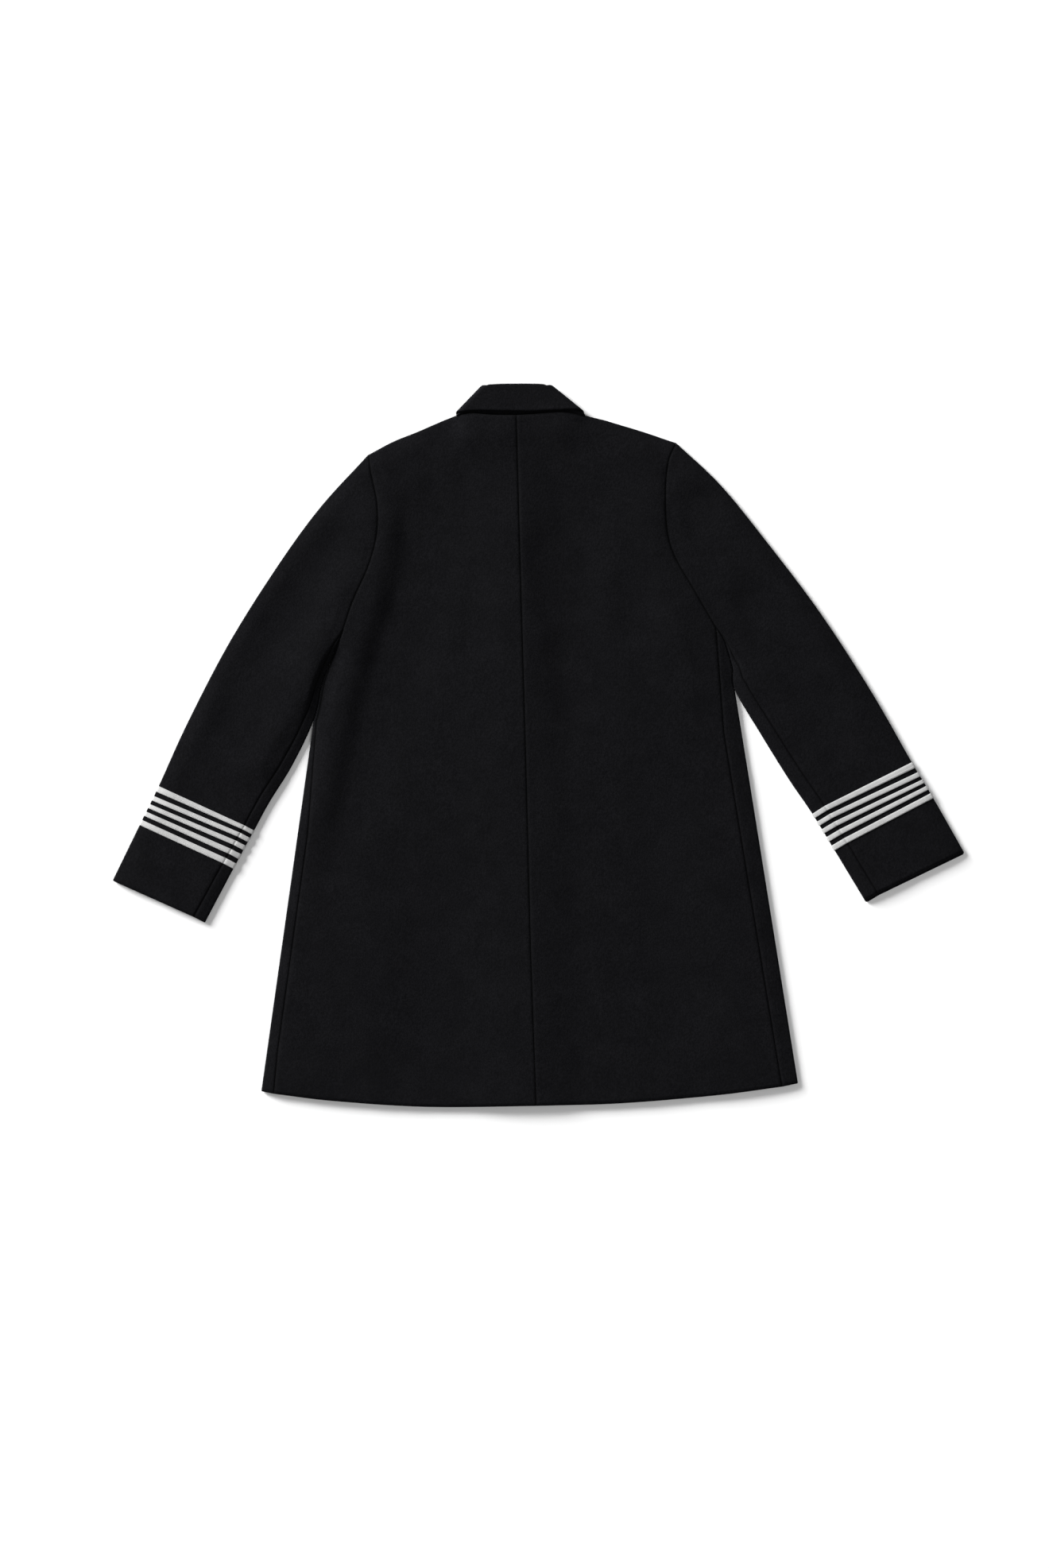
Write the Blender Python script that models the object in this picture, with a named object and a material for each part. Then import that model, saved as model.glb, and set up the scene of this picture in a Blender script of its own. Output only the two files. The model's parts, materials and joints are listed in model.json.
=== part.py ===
"""Sailor coat: an A-line coat of thick dark wool, laid flat on its front and seen from the back.

The coat lies on the XY plane with its collar towards +Y, its back up and the wearer's left on -X.
Plan sizes and heights are in millimetres; the meshes are in metres. Every piece is a wall of cloth:
a skin of points with their outward directions, doubled by a second skin one cloth thickness inside.
"""

import bmesh
import bpy
import numpy as np

MM = 0.001

CLOTH = 2.0
SEAM = 0.3
TOP = 7.2
GROOVE = 1.2
COLLAR_GAP = 0.6
COLLAR_LIFT = CLOTH + COLLAR_GAP
OVERLAP_LIFT = CLOTH + 2 * SEAM
BUTTON_DIAMETER = 25.0
BUTTON_THICKNESS = 2.6
BUTTON_BEVEL = 0.8
BUTTON_RIM = 2.0
BUTTON_SIDES = 20
HOLES = 4
HOLE_DIAMETER = 2.2
HOLE_CIRCLE = 5.8
HOLE_SIDES = 8
BUTTON_LIFT = BUTTON_THICKNESS + SEAM
BUTTON_LINE = (296.0, 190.0, 84.0, -22.0)
OVERLAP = 22.0

BRAIDS = 5
BRAID_WIDTH = 6.5
BRAID_PITCH = 11.4
BRAID_THICKNESS = 0.7
BRAID_STAND_OFF = 0.3
SHARP_ANGLE = 50.0
CUFF_LIFT = BRAID_THICKNESS + BRAID_STAND_OFF

# The centre seam of the back, which the centre line of the fronts lies under: x, y
CENTRE_SEAM = [(-27, 415), (-23, 263), (-15, -17), (-9, -257), (-2, -453)]

# Steps of the turn from the back's level over an edge to the floor's level, in degrees from straight up
TURN = (45.0, 90.0, 135.0)

SIDES = {
    "left": {
        "hand": -1.0,
        # A row for each section of the sleeve, shoulder to cuff: outer x, outer y, inner x, inner y
        "sleeve": [
            (-214, 365, -257, 116),
            (-275, 298, -271, 80),
            (-330, 222, -282, 32),
            (-389, 128, -309, -25),
            (-441, 28, -338, -72),
            (-477, -51, -357, -107),
            (-501, -100, -383, -155),
            (-535, -170, -419, -223),
        ],
        "shoulder": [(-102, 415), (-122, 407), (-152, 394), (-182, 382), (-214, 365)],
        "armhole": [(-210, 343), (-202, 303), (-203, 263), (-214, 223), (-232, 183), (-246, 142)],
        "shoulder_out": (-0.58, 0.81),
        "groove_out": (-0.28, -0.96),
        "hem_corner": (-348, -435),
        "hem": [(-2, -453), (-137, -454.5), (-257, -447), (-332, -438)],
        "side_seam_inset": (11.0, 15.0, 15.0),
        "under_cuff_reach": 0.0,
        "collar_axis": ((-68.5, 448.1), (-0.695, -0.72)),
        "collar_out": (-0.72, 0.695),
        "neck_reach": 47.5,
        "fall_reach": (40.0, 42.5, 45.0, 46.5, 49.0),
        "back_neck": [(-27, 415), (-60, 415.5), (-85, 417.5)],
        "back_roll": [(-27, 452.3), (-48, 452.4), (-62, 452.0)],
        "back_fall": [(-27, 420.2), (-50, 420.6), (-80, 420.9)],
    },
    "right": {
        "hand": 1.0,
        "sleeve": [
            (174, 380, 236, 128),
            (229, 328, 244.5, 98),
            (286, 258, 247.5, 70),
            (354, 168, 279, 16),
            (419, 68, 315, -42),
            (470, -21, 345, -86),
            (497, -66, 373, -132),
            (535, -133, 411, -195),
        ],
        "shoulder": [(60, 416), (73, 412), (103, 403), (133, 394), (174, 380)],
        "armhole": [(164, 356), (160.5, 316), (163, 268), (173, 236), (196, 196), (224, 148)],
        "shoulder_out": (0.46, 0.89),
        "groove_out": (0.25, -0.97),
        "hem_corner": (327, -425),
        "hem": [(-2, -453), (103, -450), (223, -440), (307, -429)],
        "side_seam_inset": (13.0, 18.0, 21.5),
        "under_cuff_reach": 3.5,
        "collar_axis": ((16.0, 448.0), (0.777, -0.63)),
        "collar_out": (0.63, 0.777),
        "neck_reach": 54.4,
        "fall_reach": (40.5, 45.0, 49.0, 52.0, 56.0),
        "back_neck": [(-27, 415), (-5, 416.5), (30, 419)],
        "back_roll": [(-27, 452.3), (-8, 452.6), (8, 452.5)],
        "back_fall": [(-27, 420.2), (-5, 420.1), (25, 421.6)],
    },
}

# Sections of the sleeve that its rows of points lie on, counted along the table above
SLEEVE_ROWS = (0, 0.33, 0.66, 1, 1.5, 2, 2.5, 3, 3.5, 4, 4.5)
BAND_TOP = 5.0
BAND_END = 6.0
CUFF_ROWS = (6.5, 7)
GROOVE_ROWS = 5
SIDE_ROWS = 9

# Shares of the sleeve's width: the hind-arm seam is the last but one on top, the forearm seam below
TOP_COLUMNS = (0, 0.127, 0.254, 0.381, 0.508, 0.635, 0.762, 0.885, 1)
UNDER_COLUMNS = (0, 0.133, 0.267, 0.4, 0.533, 0.667, 0.8, 0.9, 1)
FOREARM_COLUMN = 6

# Distances of the front's columns from the centre line; below 0 they are in the overlap
FRONT_COLUMNS = (-OVERLAP, -14, 0, 14, 24, 40, 58)
SHOULDER_COLUMNS = 5
NECK_COLUMNS = 4
ARMHOLE_ROWS = 7
FRONT_NECK_DEPTH = 73.5
FRONT_NECK_LOW = 340.0
FRONT_NECK_POWER = 2.2
FRONT_HEM_RISE = 1.5
FRONT_SCOOP = 9.0
CORNER_SLIP = 4.0

# The hidden front half of the collar, a row for each column from the centre line to the side:
# roll across as a share of the neck's half width, roll y, fall edge across, fall edge y
FRONT_COLLAR = [
    (0.02, 366, 0.64, 316),
    (0.17, 374, 0.79, 328),
    (0.28, 382, 0.89, 342),
    (0.42, 400, 1.00, 362),
    (0.54, 425, 1.05, 388),
]

# The largest folds of the back and sleeves: from x, y, to x, y, half width, height
FOLDS = [
    (-175, 275, -235, -17, 26, -1.3),
    (-235, -17, -268, -165, 24, -1.1),
    (-90, 244, -92, 100, 30, -0.5),
    (16, 290, 8, 170, 24, -0.7),
    (8, 160, 36, 55, 24, -0.8),
    (101, 215, 103, 150, 30, -0.5),
    (-150, 200, -190, 20, 30, 0.5),
    (-245, 270, -345, 152, 20, -1.2),
    (-345, 152, -394, 53, 18, -0.9),
    (-400, 60, -455, -40, 24, 0.5),
    (243, 195, 330, 72, 18, -1.2),
    (330, 72, 363, -10, 18, -0.8),
    (196, 315, 203, 262, 16, -0.7),
    (300, 190, 390, 50, 24, 0.5),
]

# The ridge over the closing, down the middle of the back: height, half widths and where it ends above
RIDGE = 2.8
RIDGE_FLAT = 27.0
RIDGE_REACH = 76.0
RIDGE_END = (350.0, 400.0)

# Between these distances the fronts sink from what lies under them: from the centre line, up and down
COLLAR_SINK = (112.0, 165.0)
COLLAR_FOOT = (-290.0, -240.0)
BUTTON_SINK = (14.0, 56.0)
BUTTON_HEAD = (330.0, 380.0)
BUTTON_FOOT = (60.0, 200.0)
OVERLAP_SINK = (24.0, 40.0)

# Linear colours and roughness
WOOL = (0.007, 0.007, 0.008)
BRAID = (0.50, 0.50, 0.50)
HORN = (0.012, 0.012, 0.014)
WOOL_ROUGHNESS = 0.9
BRAID_ROUGHNESS = 0.75
HORN_ROUGHNESS = 0.35


def smooth_line(points, steps=24):
    """Dense points of a smooth curve through the given ones."""
    p = np.array(points, float)
    p = np.vstack([2 * p[0] - p[1], p, 2 * p[-1] - p[-2]])
    t = np.linspace(0, 1, steps, endpoint=False)[:, None]
    parts = []
    for a, b, c, d in zip(p, p[1:], p[2:], p[3:]):
        bend = (2 * a - 5 * b + 4 * c - d) * t**2 + (3 * b - a - 3 * c + d) * t**3
        parts.append(0.5 * (2 * b + (c - a) * t + bend))
    return np.vstack([*parts, p[-2:-1]])


def shares_along(line):
    """Share of a line's length at each of its points."""
    run = np.r_[0, np.cumsum(np.linalg.norm(np.diff(line, axis=0), axis=1))]
    return run / run[-1]


def at_shares(line, shares):
    """Points of a line at shares of its length."""
    run = shares_along(line)
    return np.stack([np.interp(shares, run, line[:, k]) for k in (0, 1)], axis=-1)


def at_sections(points, sections, steps=24):
    """Points of a smooth curve at fractional positions in its table."""
    line = smooth_line(points, steps)
    wanted = np.asarray(sections, float) * steps
    return np.stack([np.interp(wanted, np.arange(len(line)), line[:, k]) for k in (0, 1)], axis=-1)


def fade(value, full, gone):
    """1 up to full, 0 past gone, with a soft passage between them."""
    t = np.clip((gone - np.asarray(value, float)) / (gone - full), 0, 1)
    return t * t * (3 - 2 * t)


def unit(vectors):
    vectors = np.asarray(vectors, float)
    return vectors / np.linalg.norm(vectors, axis=-1, keepdims=True)


def normals_away(points, inside):
    """Unit normals of a line in plan, on the side away from the inside points."""
    along = unit(np.gradient(points, axis=0))
    across = np.stack([along[:, 1], -along[:, 0]], axis=-1)
    return across * np.sign(((points - inside) * across).sum())


def centre_x(y):
    line = np.array(CENTRE_SEAM, float)[::-1]
    return np.interp(y, line[:, 1], line[:, 0])


def top_height(xy):
    """Height of the upper outer face over the floor."""
    x, y = xy[..., 0], xy[..., 1]
    aside = np.abs(x - centre_x(y))
    height = TOP + RIDGE * fade(aside, RIDGE_FLAT, RIDGE_REACH) * fade(y, *RIDGE_END)
    for x0, y0, x1, y1, width, rise in FOLDS:
        run = np.array([x1 - x0, y1 - y0], float)
        from_start = np.stack([x - x0, y - y0], axis=-1)
        share = np.clip((from_start @ run) / (run @ run), 0, 1)
        away = np.linalg.norm(from_start - share[..., None] * run, axis=-1)
        height = height + rise * np.exp(-((away / width) ** 2)) * fade(-aside, -50, -RIDGE_FLAT)
    return height


def front_height(xy, raised):
    """Height of a front's outer face: over the collar, over the buttons, and over the other front."""
    x, y = xy[..., 0], xy[..., 1]
    aside = np.abs(x - centre_x(y))
    collar = COLLAR_LIFT * fade(aside, *COLLAR_SINK) * fade(-y, *COLLAR_FOOT)
    buttons = BUTTON_LIFT * fade(aside, *BUTTON_SINK) * fade(y, *BUTTON_HEAD) * fade(-y, *BUTTON_FOOT)
    over = OVERLAP_LIFT * fade(raised * (x - centre_x(y)), *OVERLAP_SINK) if raised else 0.0
    return np.maximum(collar, buttons) + over


def skin(xy, out, turn, under):
    """Points and outward directions: over an edge they turn from the top level to the under level."""
    xy, out = np.broadcast_arrays(np.asarray(xy, float), np.asarray(out, float))
    top = top_height(xy)
    half = (top - under) / 2
    sine = np.sin(np.radians(turn)) * np.ones_like(half)
    cosine = np.cos(np.radians(turn)) * np.ones_like(half)
    plan = xy + out * (half * sine)[..., None]
    points = np.concatenate([plan, (under + half + half * cosine)[..., None]], axis=-1)
    return np.concatenate([points, out * sine[..., None], cosine[..., None]], axis=-1)


def axis_of(edge, out, under):
    """The line that the cloth turns round, for an edge seen in plan."""
    half = (top_height(edge) - under) / 2
    return edge - out * half[..., None]


def spread(left, right, first, last, shares, power=3.0):
    """Rows straight from left to right, with the bows of the first and last row fading into them."""
    shares = np.broadcast_to(shares, (len(left), len(first)))[..., None]
    rows = left[:, None] + shares * (right - left)[:, None]
    down = ((shares_along(left) + shares_along(right)) / 2)[:, None, None]
    return rows + (first - rows[0]) * (1 - down) ** power + (last - rows[-1]) * down**power


def cloth(name, patches, colour, outer=0.0, thickness=CLOTH, trim=SEAM / 2, roughness=WOOL_ROUGHNESS):
    """A wall from patches of skin, which meet where they share points. Open edges are trimmed back.

    The narrow faces round the edges are split alike on both sides of a seam, so that its gap stays even.
    """
    points, directions, index, faces = [], [], {}, []
    for patch in patches:
        ids = np.empty(patch.shape[:2], int)
        for place in np.ndindex(ids.shape):
            key = tuple(np.round(patch[place][:3], 3))
            if key not in index:
                index[key] = len(points)
                points.append(patch[place][:3])
                directions.append(patch[place][3:])
            ids[place] = index[key]
        corners = zip(ids[:-1, :-1].flat, ids[1:, :-1].flat, ids[1:, 1:].flat, ids[:-1, 1:].flat)
        grid = [tuple(dict.fromkeys(int(i) for i in face)) for face in corners]
        outward = sum(facing(points, directions, face) for face in grid) > 0
        faces += grid if outward else [face[::-1] for face in grid]
    points, directions = np.array(points), unit(directions)
    used = {(a, b) for face in faces for a, b in zip(face, face[1:] + face[:1])}
    rim = [(a, b) for a, b in used if (b, a) not in used]
    points = trimmed(points, directions, rim, trim)
    far = len(points)
    walls = []
    for edge in rim:
        a, b = sorted(edge, key=lambda i: points[i].sum())
        walls += [(a, b, b + far), (a, b + far, a + far)]
    inside = [tuple(i + far for i in reversed(face)) for face in faces]
    shell = np.vstack([points + directions * outer, points + directions * (outer - thickness)])
    return mesh_object(name, shell, faces + inside + walls, colour, roughness)


def facing(points, directions, face):
    """Above 0 where the face's points run anticlockwise, seen from outside."""
    a, b, c = (points[i] for i in face[:3])
    return np.cross(b - a, c - a) @ sum(directions[i] for i in face)


def trimmed(points, directions, rim, trim):
    """Moves each point of an open edge inwards along the cloth."""
    inward = {}
    for a, b in rim:
        along = unit(points[b] - points[a])
        for i in (a, b):
            inward.setdefault(i, []).append(unit(np.cross(directions[i], along)))
    moved = points.copy()
    for i, ways in inward.items():
        total = np.sum(ways, axis=0)
        moved[i] = points[i] + total * trim * len(ways) / max(total @ total, 0.5)
    return moved


def mesh_object(name, points, faces, colour, roughness):
    mesh = bpy.data.meshes.new(name)
    mesh.from_pydata([tuple(p) for p in np.asarray(points) * MM], [], faces)
    obj = bpy.data.objects.new(name, mesh)
    bpy.context.scene.collection.objects.link(obj)
    work = bmesh.new()
    work.from_mesh(mesh)
    bmesh.ops.recalc_face_normals(work, faces=work.faces)
    work.to_mesh(mesh)
    work.free()
    mesh.shade_smooth()
    mesh.set_sharp_from_angle(angle=np.radians(SHARP_ANGLE))
    mesh.materials.append(plain_material(name, colour, roughness))
    return obj


def plain_material(name, colour, roughness):
    material = bpy.data.materials.new(f"{name}_finish")
    material.use_nodes = True
    shader = material.node_tree.nodes["Principled BSDF"]
    shader.inputs["Base Color"].default_value = (*colour, 1.0)
    shader.inputs["Roughness"].default_value = roughness
    shader.inputs["Metallic"].default_value = 0.0
    return material


def neck_side(side):
    """Axis point of the neck's side, where the collar seam turns from the back to the front."""
    start, along = np.array(side["collar_axis"][0]), unit(side["collar_axis"][1])
    return start + along * side["neck_reach"]


def front_neck(side, distances):
    """The front half of the neck seam at distances from the centre line."""
    half_width = abs(neck_side(side)[0] - centre_x(FRONT_NECK_LOW))
    share = np.clip(np.asarray(distances, float), 0, None) / half_width
    y = FRONT_NECK_LOW + FRONT_NECK_DEPTH * share**FRONT_NECK_POWER
    return np.stack([centre_x(y * 0 + FRONT_NECK_LOW) + side["hand"] * np.asarray(distances), y], axis=-1)


def armhole_ring(side, front):
    """The armhole from the shoulder's axis to the underarm's axis, on the back or on the front."""
    top = axis_of(np.array(side["sleeve"][0][:2], float), unit(side["shoulder_out"]), 0.0)
    low = axis_of(np.array(side["sleeve"][0][2:], float), unit(side["groove_out"]), 0.0)
    upper = at_shares(smooth_line([top, *side["armhole"]]), np.linspace(0, 1, ARMHOLE_ROWS + 1))
    ring = np.vstack([upper, low])
    if front:
        scoop = FRONT_SCOOP * np.sin(np.linspace(0, np.pi, len(ring))) ** 2
        ring[:, 0] -= side["hand"] * scoop
    return ring


def shoulder_lines(side):
    """Axis points and outward directions of the shoulder edge, from the neck to the sleeve."""
    edge = at_shares(smooth_line(side["shoulder"]), np.linspace(0, 1, SHOULDER_COLUMNS + 1))
    out = normals_away(edge, edge - (0, 10))
    out[0], out[-1] = unit(side["collar_out"]), unit(side["shoulder_out"])
    under = front_height(edge, 0.0)
    axis = axis_of(edge, out, under)
    axis[0] = neck_side(side)
    axis[-1] = armhole_ring(side, False)[0]
    return axis, out, under


def side_lines(side):
    """The body's side from the underarm to the hem: axis points, outward directions and seam points."""
    inner = [row[2:] for row in side["sleeve"]]
    groove = at_sections(inner, SLEEVE_ROWS[1 : GROOVE_ROWS + 1])
    corner = np.array(side["hem_corner"], float)
    below = groove[-1] + (corner - groove[-1]) * np.linspace(0, 1, SIDE_ROWS + 1)[1:, None]
    edge = np.vstack([inner[0], groove, below])
    out = normals_away(edge, edge - (side["hand"] * 10, 0))
    edge[1 : GROOVE_ROWS + 1] -= out[1 : GROOVE_ROWS + 1] * GROOVE / 2
    out[0] = unit(side["groove_out"])
    axis = axis_of(edge, out, 0.0)
    rows = np.arange(len(edge))
    inset = np.interp(rows, (1, GROOVE_ROWS, rows[-1]), side["side_seam_inset"])
    seam = edge - out * inset[:, None]
    seam[0] = armhole_ring(side, False)[-2]
    seam[-1] = side["hem"][-1]
    return axis, out, seam


def back_half(side):
    """One half of the back: its field, and the turn over the shoulder down to the shoulder seam."""
    axis, out, under = shoulder_lines(side)
    neck_line = smooth_line([*side["back_neck"], axis[0]])
    neck = at_shares(neck_line, np.linspace(0, 1, NECK_COLUMNS + 1))
    first = np.vstack([neck[:-1], axis])
    outside = np.vstack([armhole_ring(side, False)[:-1], side_lines(side)[2][1:]])
    centre = at_shares(np.array(CENTRE_SEAM, float), shares_along(outside))
    shares = np.linspace(0, 1, len(first))
    last = at_shares(smooth_line(side["hem"]), shares)
    field = skin(spread(centre, outside, first, last, shares), (0, 0), 0.0, 0.0)
    turns = [skin(axis, out, turn, under) for turn in (90.0, 45.0, 0.0)]
    return [field, np.stack(turns)]


def front_half(side, raised):
    """One front: its field on the floor, the turn over the shoulder, and the strip round the side."""
    hand = side["hand"]
    shoulder, out, _ = shoulder_lines(side)
    side_axis, side_out, seam = side_lines(side)
    neck = front_neck(side, FRONT_COLUMNS)
    first = np.vstack([neck, shoulder])
    outside = np.vstack([armhole_ring(side, True), side_axis[1:]])
    closing_drop = CENTRE_SEAM[-1][1] + FRONT_HEM_RISE - FRONT_NECK_LOW
    closing_y = FRONT_NECK_LOW + closing_drop * shares_along(outside)
    closing = np.stack([centre_x(closing_y) - hand * OVERLAP, closing_y], axis=-1)
    width = np.linalg.norm(outside - closing, axis=1)
    near = (np.array(FRONT_COLUMNS) + OVERLAP) / width[:, None]
    far = near[:, -1:] + (1 - near[:, -1:]) * np.linspace(0, 1, len(shoulder) + 1)[1:]
    shares = np.hstack([near, far])
    hem_line = smooth_line([*side["hem"], side_axis[-1]])
    hem_shares = np.clip((shares[-1] * width[-1] - OVERLAP) / (width[-1] - OVERLAP), 0, 1)
    last = at_shares(hem_line, hem_shares) + (0, FRONT_HEM_RISE)
    last[0] = closing[-1]
    last[1] = last[0] + (last[2] - last[0]) * shares[-1, 1] / shares[-1, 2]
    last[-1] = side_axis[-1]
    plan = spread(closing, outside, first, last, shares)
    field = skin(plan, (0, 0), 180.0, front_height(plan, raised))
    turns = [skin(shoulder, out, turn, front_height(shoulder, raised)) for turn in (90.0, 135.0, 180.0)]
    strip = [skin(seam, (0, 0), 0.0, 0.0), skin(side_axis, side_out, 0.0, 0.0)]
    strip += [skin(side_axis, side_out, turn, 0.0) for turn in (*TURN, 180.0)]
    return [field, np.stack(turns), np.stack(strip, axis=1)]


def braid_rows():
    """Sections of the sleeve at both edges of each braid."""
    band = (BRAIDS - 1) * BRAID_PITCH + BRAID_WIDTH
    edges = [n * BRAID_PITCH + edge for n in range(BRAIDS) for edge in (0.0, BRAID_WIDTH)]
    return [BAND_TOP + (BAND_END - BAND_TOP) * edge / band for edge in edges]


def sleeve_tube(side):
    """The whole sleeve as one skin: rows from armhole to cuff, columns round it from the hind-arm seam."""
    sections = np.array([*SLEEVE_ROWS, *braid_rows(), *CUFF_ROWS])
    outer = at_sections([row[:2] for row in side["sleeve"]], sections)
    inner = at_sections([row[2:] for row in side["sleeve"]], sections)
    middle = (outer + inner) / 2
    outer_out, inner_out = normals_away(outer, middle), normals_away(inner, middle)
    outer_out[0], inner_out[0] = unit(side["shoulder_out"]), unit(side["groove_out"])
    inner[1 : GROOVE_ROWS + 1] -= inner_out[1 : GROOVE_ROWS + 1] * GROOVE / 2
    under = np.where((sections >= BAND_TOP) & (sections <= BAND_END), CUFF_LIFT, 0.0)
    outer_axis = axis_of(outer, outer_out, under)
    inner_axis = axis_of(inner, inner_out, under)
    layers = []
    for front, shares in ((False, TOP_COLUMNS), (True, UNDER_COLUMNS)):
        ring = armhole_ring(side, front)
        cuff = outer_axis[-1] + np.array(shares)[:, None] * (inner_axis[-1] - outer_axis[-1])
        layers.append(spread(outer_axis, inner_axis, ring, cuff, shares, power=6.0))
    above, below = layers
    columns = [(above[:, k], outer_out, 0.0) for k in range(len(TOP_COLUMNS) - 2, -1, -1)]
    columns += [(outer_axis, outer_out, turn) for turn in TURN]
    columns += [(below[:, k], outer_out, 180.0) for k in range(len(UNDER_COLUMNS))]
    columns += [(inner_axis, inner_out, turn) for turn in reversed(TURN)]
    columns += [(above[:, k], inner_out, 0.0) for k in (-1, -2)]
    tube = np.stack([skin(plan, out, turn, under) for plan, out, turn in columns], axis=1)
    lower = (1 - tube[-1, :, 5:6]) / 2
    down_arm = unit(middle[-1] - middle[-2])
    tube[-1, :, :2] += down_arm * side["under_cuff_reach"] * lower
    return tube


def sleeve_parts(tube):
    """Top sleeve and under sleeve, parted at the hind-arm seam and the forearm seam."""
    forearm = len(TOP_COLUMNS) - 1 + len(TURN) + FOREARM_COLUMN
    return {"top": tube[:, : forearm + 1], "under": tube[:, forearm:]}


def collar_columns(side, raised):
    """Columns of the collar from the centre of the back round the side to the centre of the front.

    Each is the neck seam, the roll and the fall's edge in plan, with the turn round the side.
    """
    start, along = np.array(side["collar_axis"][0]), unit(side["collar_axis"][1])
    out = unit(side["collar_out"])
    seam_end = neck_side(side)
    shares = np.linspace(0, 1, NECK_COLUMNS + 1)
    back = [
        at_shares(smooth_line([*side["back_neck"], seam_end]), shares),
        at_shares(smooth_line([*side["back_roll"], start - along * CORNER_SLIP]), shares),
        at_shares(smooth_line([*side["back_fall"], start + along * side["fall_reach"][0]]), shares),
    ]
    columns = [(*points, 0.0, 0.0) for points in zip(*(line[:-1] for line in back))]
    slant = abs(along[0] / along[1])
    for reach, turn in zip(side["fall_reach"], (0.0, *TURN, 180.0)):
        slip = (CLOTH + COLLAR_GAP) * np.radians(turn - 90.0) * slant
        columns.append((seam_end, start + along * slip, start + along * reach, turn, 0.0))
    half_width = abs(seam_end[0] - centre_x(FRONT_NECK_LOW))
    distances = (SEAM, *FRONT_COLUMNS[3:])
    seams = front_neck(side, distances)
    rise = front_height(seams, raised) - COLLAR_LIFT
    for seam, extra, row in reversed(list(zip(seams, rise, FRONT_COLLAR))):
        roll_across, roll_y, fall_across, fall_y = row
        middle = centre_x(FRONT_NECK_LOW)
        roll = np.array([middle + side["hand"] * half_width * roll_across, roll_y])
        fall = np.array([middle + side["hand"] * half_width * fall_across, fall_y])
        columns.append((seam, roll, fall, 180.0, extra))
    return [(*column, out) for column in columns]


def collar_section(seam, roll, fall, turn, rise, out):
    """One section of the collar's neck side, roll and fall, folded flat and turned round the side."""
    middle = (TOP + COLLAR_LIFT) / 2
    stand_radius = middle - COLLAR_LIFT - CLOTH
    fall_radius = stand_radius + 2 * CLOTH + COLLAR_GAP
    roll_radius = (fall_radius - stand_radius) / 2
    away = np.array([*(out * np.sin(np.radians(turn))), np.cos(np.radians(turn))])
    ahead = unit(roll - (seam + fall) / 2)
    stations = []
    for share in (0.0, 0.5, 1.0):
        lift = (0, 0, rise * (1 - share))
        stations.append((seam + share * (roll - seam), stand_radius, -away, lift))
    for bend in np.radians(TURN):
        plan = roll + ahead * roll_radius * np.sin(bend)
        radius = stand_radius + roll_radius * (1 - np.cos(bend))
        direction = np.array([*(ahead * np.sin(bend)), 0]) - away * np.cos(bend)
        stations.append((plan, radius, direction, (0, 0, 0)))
    for share in (0.0, 0.33, 0.67, 1.0):
        stations.append((roll + share * (fall - roll), fall_radius, away, (0, 0, 0)))
    rows = []
    for plan, radius, direction, lift in stations:
        rows.append([*(np.array([*plan, middle]) + away * radius + lift), *direction])
    return np.array(rows)


def collar_skin():
    left = [collar_section(*column) for column in collar_columns(SIDES["left"], -1.0)]
    right = [collar_section(*column) for column in collar_columns(SIDES["right"], 0.0)]
    return np.stack([*reversed(left), *right[1:]], axis=1)


def button(name, y):
    """A four-hole button, dished on its outer face, which lies on the floor."""
    radius = BUTTON_DIAMETER / 2
    bevel = BUTTON_BEVEL
    # Profile from the middle of the dish to the middle of the back: radius, height
    profile = [
        (0, bevel),
        (radius - BUTTON_RIM - 1.5, bevel),
        (radius - BUTTON_RIM, 0),
        (radius - bevel, 0),
        (radius, bevel),
        (radius, BUTTON_THICKNESS - 0.5),
        (radius - bevel, BUTTON_THICKNESS),
        (0, BUTTON_THICKNESS),
    ]
    sides = BUTTON_SIDES
    centre = np.array([float(centre_x(y)), y])
    points, rings = [], []
    for distance, height in profile:
        count = sides if distance else 1
        rings.append(range(len(points), len(points) + count))
        angles = np.arange(count) * 2 * np.pi / sides
        points += [(centre[0] + distance * np.cos(a), centre[1] + distance * np.sin(a), height) for a in angles]
    faces = []
    for ring, following in zip(rings, rings[1:]):
        for k in range(sides):
            face = (ring[k % len(ring)], ring[(k + 1) % len(ring)],
                    following[(k + 1) % len(following)], following[k % len(following)])
            faces.append(tuple(dict.fromkeys(face)))
    disc = mesh_object(name, points, faces, HORN, HORN_ROUGHNESS)
    for k in range(HOLES):
        angle = (k + 0.5) * 2 * np.pi / HOLES
        place = (centre + HOLE_CIRCLE / 2 * np.array([np.cos(angle), np.sin(angle)])) * MM
        bpy.ops.mesh.primitive_cylinder_add(
            vertices=HOLE_SIDES,
            radius=HOLE_DIAMETER / 2 * MM,
            depth=4 * BUTTON_THICKNESS * MM,
            location=(*place, 0),
        )
        cutter = bpy.context.object
        cutter.name = f"{name}_hole_{k + 1}"
        cutter.hide_render = True
        cutter.display_type = "WIRE"
        cut = disc.modifiers.new("hole", "BOOLEAN")
        cut.operation = "DIFFERENCE"
        cut.object = cutter
    return disc


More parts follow.
